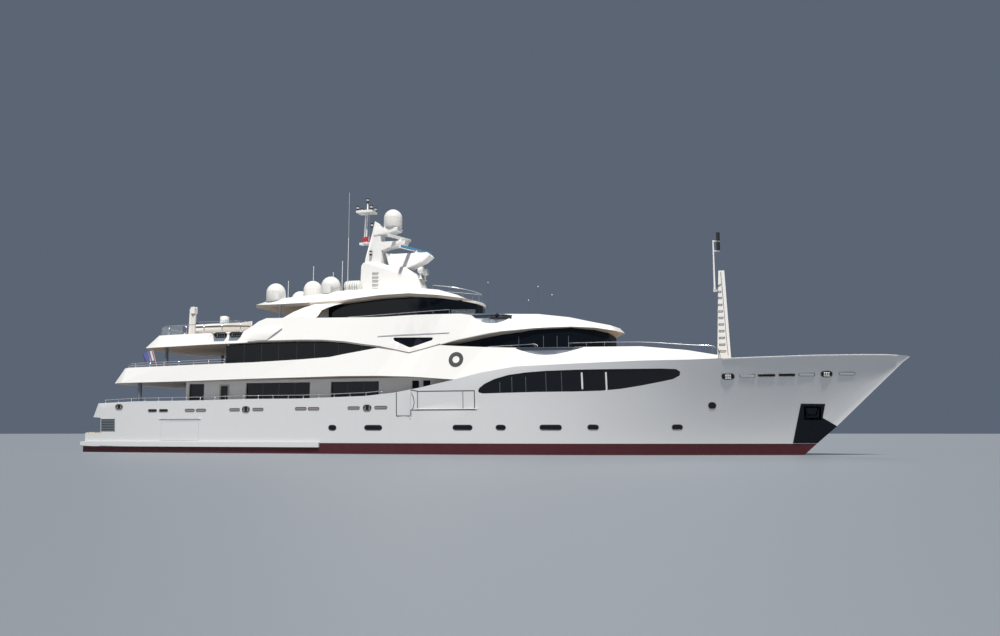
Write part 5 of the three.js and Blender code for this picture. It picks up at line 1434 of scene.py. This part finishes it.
LINK_PITCH = 0.13
LINK_WIRE = 0.018
LINK_SHAPE = 0.62
CHAIN_FORE = 23.2
CHAIN_AFT = 21.55
CHAIN_OUT = 1.2


def chain_tree():
    """Links along a line, each turned a quarter from the last."""
    tree, given, out = geometry_group("chain_along_edges", [
        ("Pitch", "NodeSocketFloat"), ("Wire", "NodeSocketFloat"), ("Material", "NodeSocketMaterial")])
    loop = ring_curve(tree, 12, reckoned(tree, "MULTIPLY", given.outputs["Pitch"], LINK_SHAPE))
    narrow = node_of(tree, "GeometryNodeTransform", {"Geometry": loop, "Scale": (1.0, LINK_SHAPE, 1.0)})
    link = swept(tree, narrow.outputs["Geometry"], ring_curve(tree, 6, given.outputs["Wire"]), caps=False)
    number = node_of(tree, "GeometryNodeInputIndex")
    quarter = reckoned(tree, "MULTIPLY", reckoned(tree, "MODULO", number.outputs[0], 2.0), math.pi / 2)
    turned = node_of(tree, "ShaderNodeCombineXYZ", {"X": quarter})
    links = placed_at(tree, spaced(tree, line_of(tree, given), given.outputs["Pitch"]), link,
                      Rotation=turned.outputs[0])
    return finished_tree(tree, given, out, links)


chain_z = floor_under(22.0, CHAIN_OUT, BOW_FLOOR) + 0.07
chain_line = [(x, CHAIN_OUT, chain_z) for x in (CHAIN_AFT, CHAIN_FORE)]
chains = grown(chain_tree(), path_mesh(both_sides(chain_line)), {
    "Pitch": LINK_PITCH * MODEL, "Wire": LINK_WIRE * MODEL, "Material": STEEL})
placed("anchor_chains", chains, "hull", "stainless_steel")


# Flags: plain woven bunting in dyed bands. The ensign is laced to a varnished staff at the stern, and a
# small courtesy flag to a steel stay beside the signal mast.
STAFF_FOOT = Vector((-26.50, 0.0, 6.1))
STAFF_HEAD = Vector((-27.25, 0.0, 8.22))
ENSIGN_HEAD = STAFF_HEAD - Vector((0.0, 0.0, 0.08))
STAY = ((-8.08, -0.45, 18.5), (-8.08, -0.45, 16.0), (-8.08, -0.18, 16.0))
BLUE_DYE = (0.075, 0.09, 0.28)
PALE_DYE = (0.62, 0.62, 0.66)
RED_DYE = (0.42, 0.02, 0.035)
ENSIGN_BANDS = ((0.0, BLUE_DYE), (0.50, PALE_DYE), (0.62, BLUE_DYE), (0.74, PALE_DYE), (0.90, RED_DYE))
COURTESY_BANDS = ((0.0, RED_DYE), (0.93, PALE_DYE))
FLAG_COLUMNS = 36
FLAG_ROWS = 24


def bunting(name, head, width, slope, bands):
    """Woven cloth dyed in bands along its hoist, from the fly, at 0, to the hoist, at 1."""
    material, tree, shader = new_material(name, bands[0][1], 0.85, Sheen_Weight=0.3)
    place = node_of(tree, "ShaderNodeTexCoord")
    parts = node_of(tree, "ShaderNodeSeparateXYZ", {0: place.outputs["Object"]})
    upright = reckoned(tree, "MULTIPLY_ADD", parts.outputs["Z"], slope, parts.outputs["X"])
    hoist = head[0] + slope * head[2]
    across = ranged(tree, upright, (hoist - width) * MODEL, hoist * MODEL)
    dye = node_of(tree, "ShaderNodeValToRGB", {"Fac": across})
    ramp = dye.color_ramp
    ramp.interpolation = "CONSTANT"
    ramp.elements.remove(ramp.elements[1])
    ramp.elements[0].color = (*bands[0][1], 1)
    for position, colour in bands[1:]:
        ramp.elements.new(position).color = (*colour, 1)
    feed(tree, shader, Base_Color=dye.outputs["Color"],
         Normal=bump(tree, noise(tree, 400.0, Detail=2.0), 0.0005))
    return material


def hang_flag(name, head, width, drop, lean, sag, fold, bands):
    """A flag that hangs aft from its hoist in soft folds that deepen towards the fly."""
    def folds(build):
        rows = []
        for j in range(FLAG_ROWS + 1):
            down = j / FLAG_ROWS
            rows.append([])
            for i in range(FLAG_COLUMNS + 1):
                out = i / FLAG_COLUMNS
                wave = math.sin(out * 13.0 + 1.6 * down) + 0.4 * math.sin(out * 29.0 - 2.0 * down)
                rows[-1].append(build.verts.new(at(
                    head[0] + lean * down - width * 0.90 * out, head[1] + fold * out * wave,
                    head[2] - down * drop - sag * out * out)))
        for upper, lower in zip(rows, rows[1:]):
            joined(build, upper, lower, closed=False)

    flag = built(name, folds, [bunting(f"{name}_bunting", head, width, lean / drop, bands)], "white_paint",
                 sharp_degrees=180)


tubes("ensign_staff", [[tuple(STAFF_FOOT), tuple(STAFF_HEAD)]], 0.028, BEIGE_AND_SOFFIT_SHADE, "teak", sides=10)
hang_flag("ensign_cloth", ENSIGN_HEAD, 1.05, 0.81, 0.30, 0.30, 0.10, ENSIGN_BANDS)
tubes("flag_stay", [STAY], 0.012, STEEL, "stainless_steel", sides=6)
hang_flag("courtesy_flag", (STAY[1][0], STAY[1][1], 16.50), 0.66, 0.38, 0.0, 0.06, 0.03, COURTESY_BANDS)


# Tender: a moulded launch on its chocks, with a grey rubbing strake, a raked windscreen, padded
# thwarts and an outboard engine.
TENDER_AT = (-21.4, 1.15, 8.81)
TENDER_DECK = 1.4
STRAKE = ((-2.5, 0.80), (-1.5, 0.93), (0.0, 0.95), (1.2, 0.85), (2.0, 0.5), (2.4, 0.12))
STRAKE_LEVEL = 1.22
RAIL_LEVEL = TENDER_DECK + 0.22
SCREEN_PANES = (((0.34, -0.42), (0.34, 0.42)), ((0.34, 0.42), (-0.1, 0.52)), ((0.34, -0.42), (-0.1, -0.52)))


def aboard(x, y, z):
    """A place in the tender as a place on the yacht."""
    return (TENDER_AT[0] + x, TENDER_AT[1] + y, TENDER_AT[2] + z)


def round_boat(line, share, level):
    """A line along the tender's port side, round its bow and back."""
    return [aboard(x, y * share, level) for x, y in line] + [
        aboard(x, -y * share, level) for x, y in reversed(line)]


refaced("tender", [HOUSE_WHITE_AND_LIGHT], "white_paint")
tubes("tender_strake", [round_boat(STRAKE, 1.0, STRAKE_LEVEL)], 0.045, GREY_PAINT_AND_POST_SHADE, "white_paint", sides=10)
tender_rail = round_boat(STRAKE[:5], 0.86, RAIL_LEVEL)
tubes("tender_rail", [tender_rail] + [[(x, y, z), (x, y, z - 0.28)] for x, y, z in tender_rail], 0.016,
      STEEL, "stainless_steel", sides=6)


def tender_screen(build):
    """Three raked panes round the helm."""
    for start, end in SCREEN_PANES:
        upright_pane(build, aboard(*start, TENDER_DECK - 0.03), aboard(*end, TENDER_DECK - 0.03), 0.0, 0.45)


def thwart(build):
    """A foam cushion with rolled edges across the boat."""
    columns, rows = 16, 8
    skins = []
    for depth in (0.09, None):
        skins.append([])
        for i in range(columns + 1):
            skins[-1].append([])
            for j in range(rows + 1):
                u, v = 2 * i / columns - 1, 2 * j / rows - 1
                edge = (1 - u ** 6) * (1 - v ** 6)
                lift = 0.02 + depth * edge ** 0.35 if depth else 0.0
                place = aboard(-1.15 + 0.28 * v, 0.55 * u, TENDER_DECK + lift)
                skins[-1][-1].append(build.verts.new(at(*place)))
    closed_body(build, *skins)


COWL = ((0.13, 0.0), (0.17, 0.05), (0.18, 0.30), (0.15, 0.46), (0.06, 0.52))
ENGINE_LEG = ((0.05, 0.0), (0.06, 0.3), (0.08, 0.82))
GEAR_CASE = ((0.03, 0.0), (0.07, 0.08), (0.07, 0.3), (0.02, 0.38))


def outboard_engine(build):
    """A cowl on a leg, clamped to the transom."""
    turn(build, at(*aboard(-2.66, 0, 1.25)), COWL, 16)
    turn(build, at(*aboard(-2.66, 0, 0.45)), ENGINE_LEG)
    turn(build, at(*aboard(-2.84, 0, 0.42)), GEAR_CASE, axis=FORE_AND_AFT)


VINYL = plastic("pale_seat_vinyl", (0.62, 0.60, 0.56), 0.5, 120.0)
built("tender_windscreen", tender_screen, [CLEAR_GLASS], "dark_glass")
built("tender_seat", thwart, [VINYL], "white_paint", sharp_degrees=60)
built("tender_engine", outboard_engine, [BLACK_PLASTIC], "dark_glass")
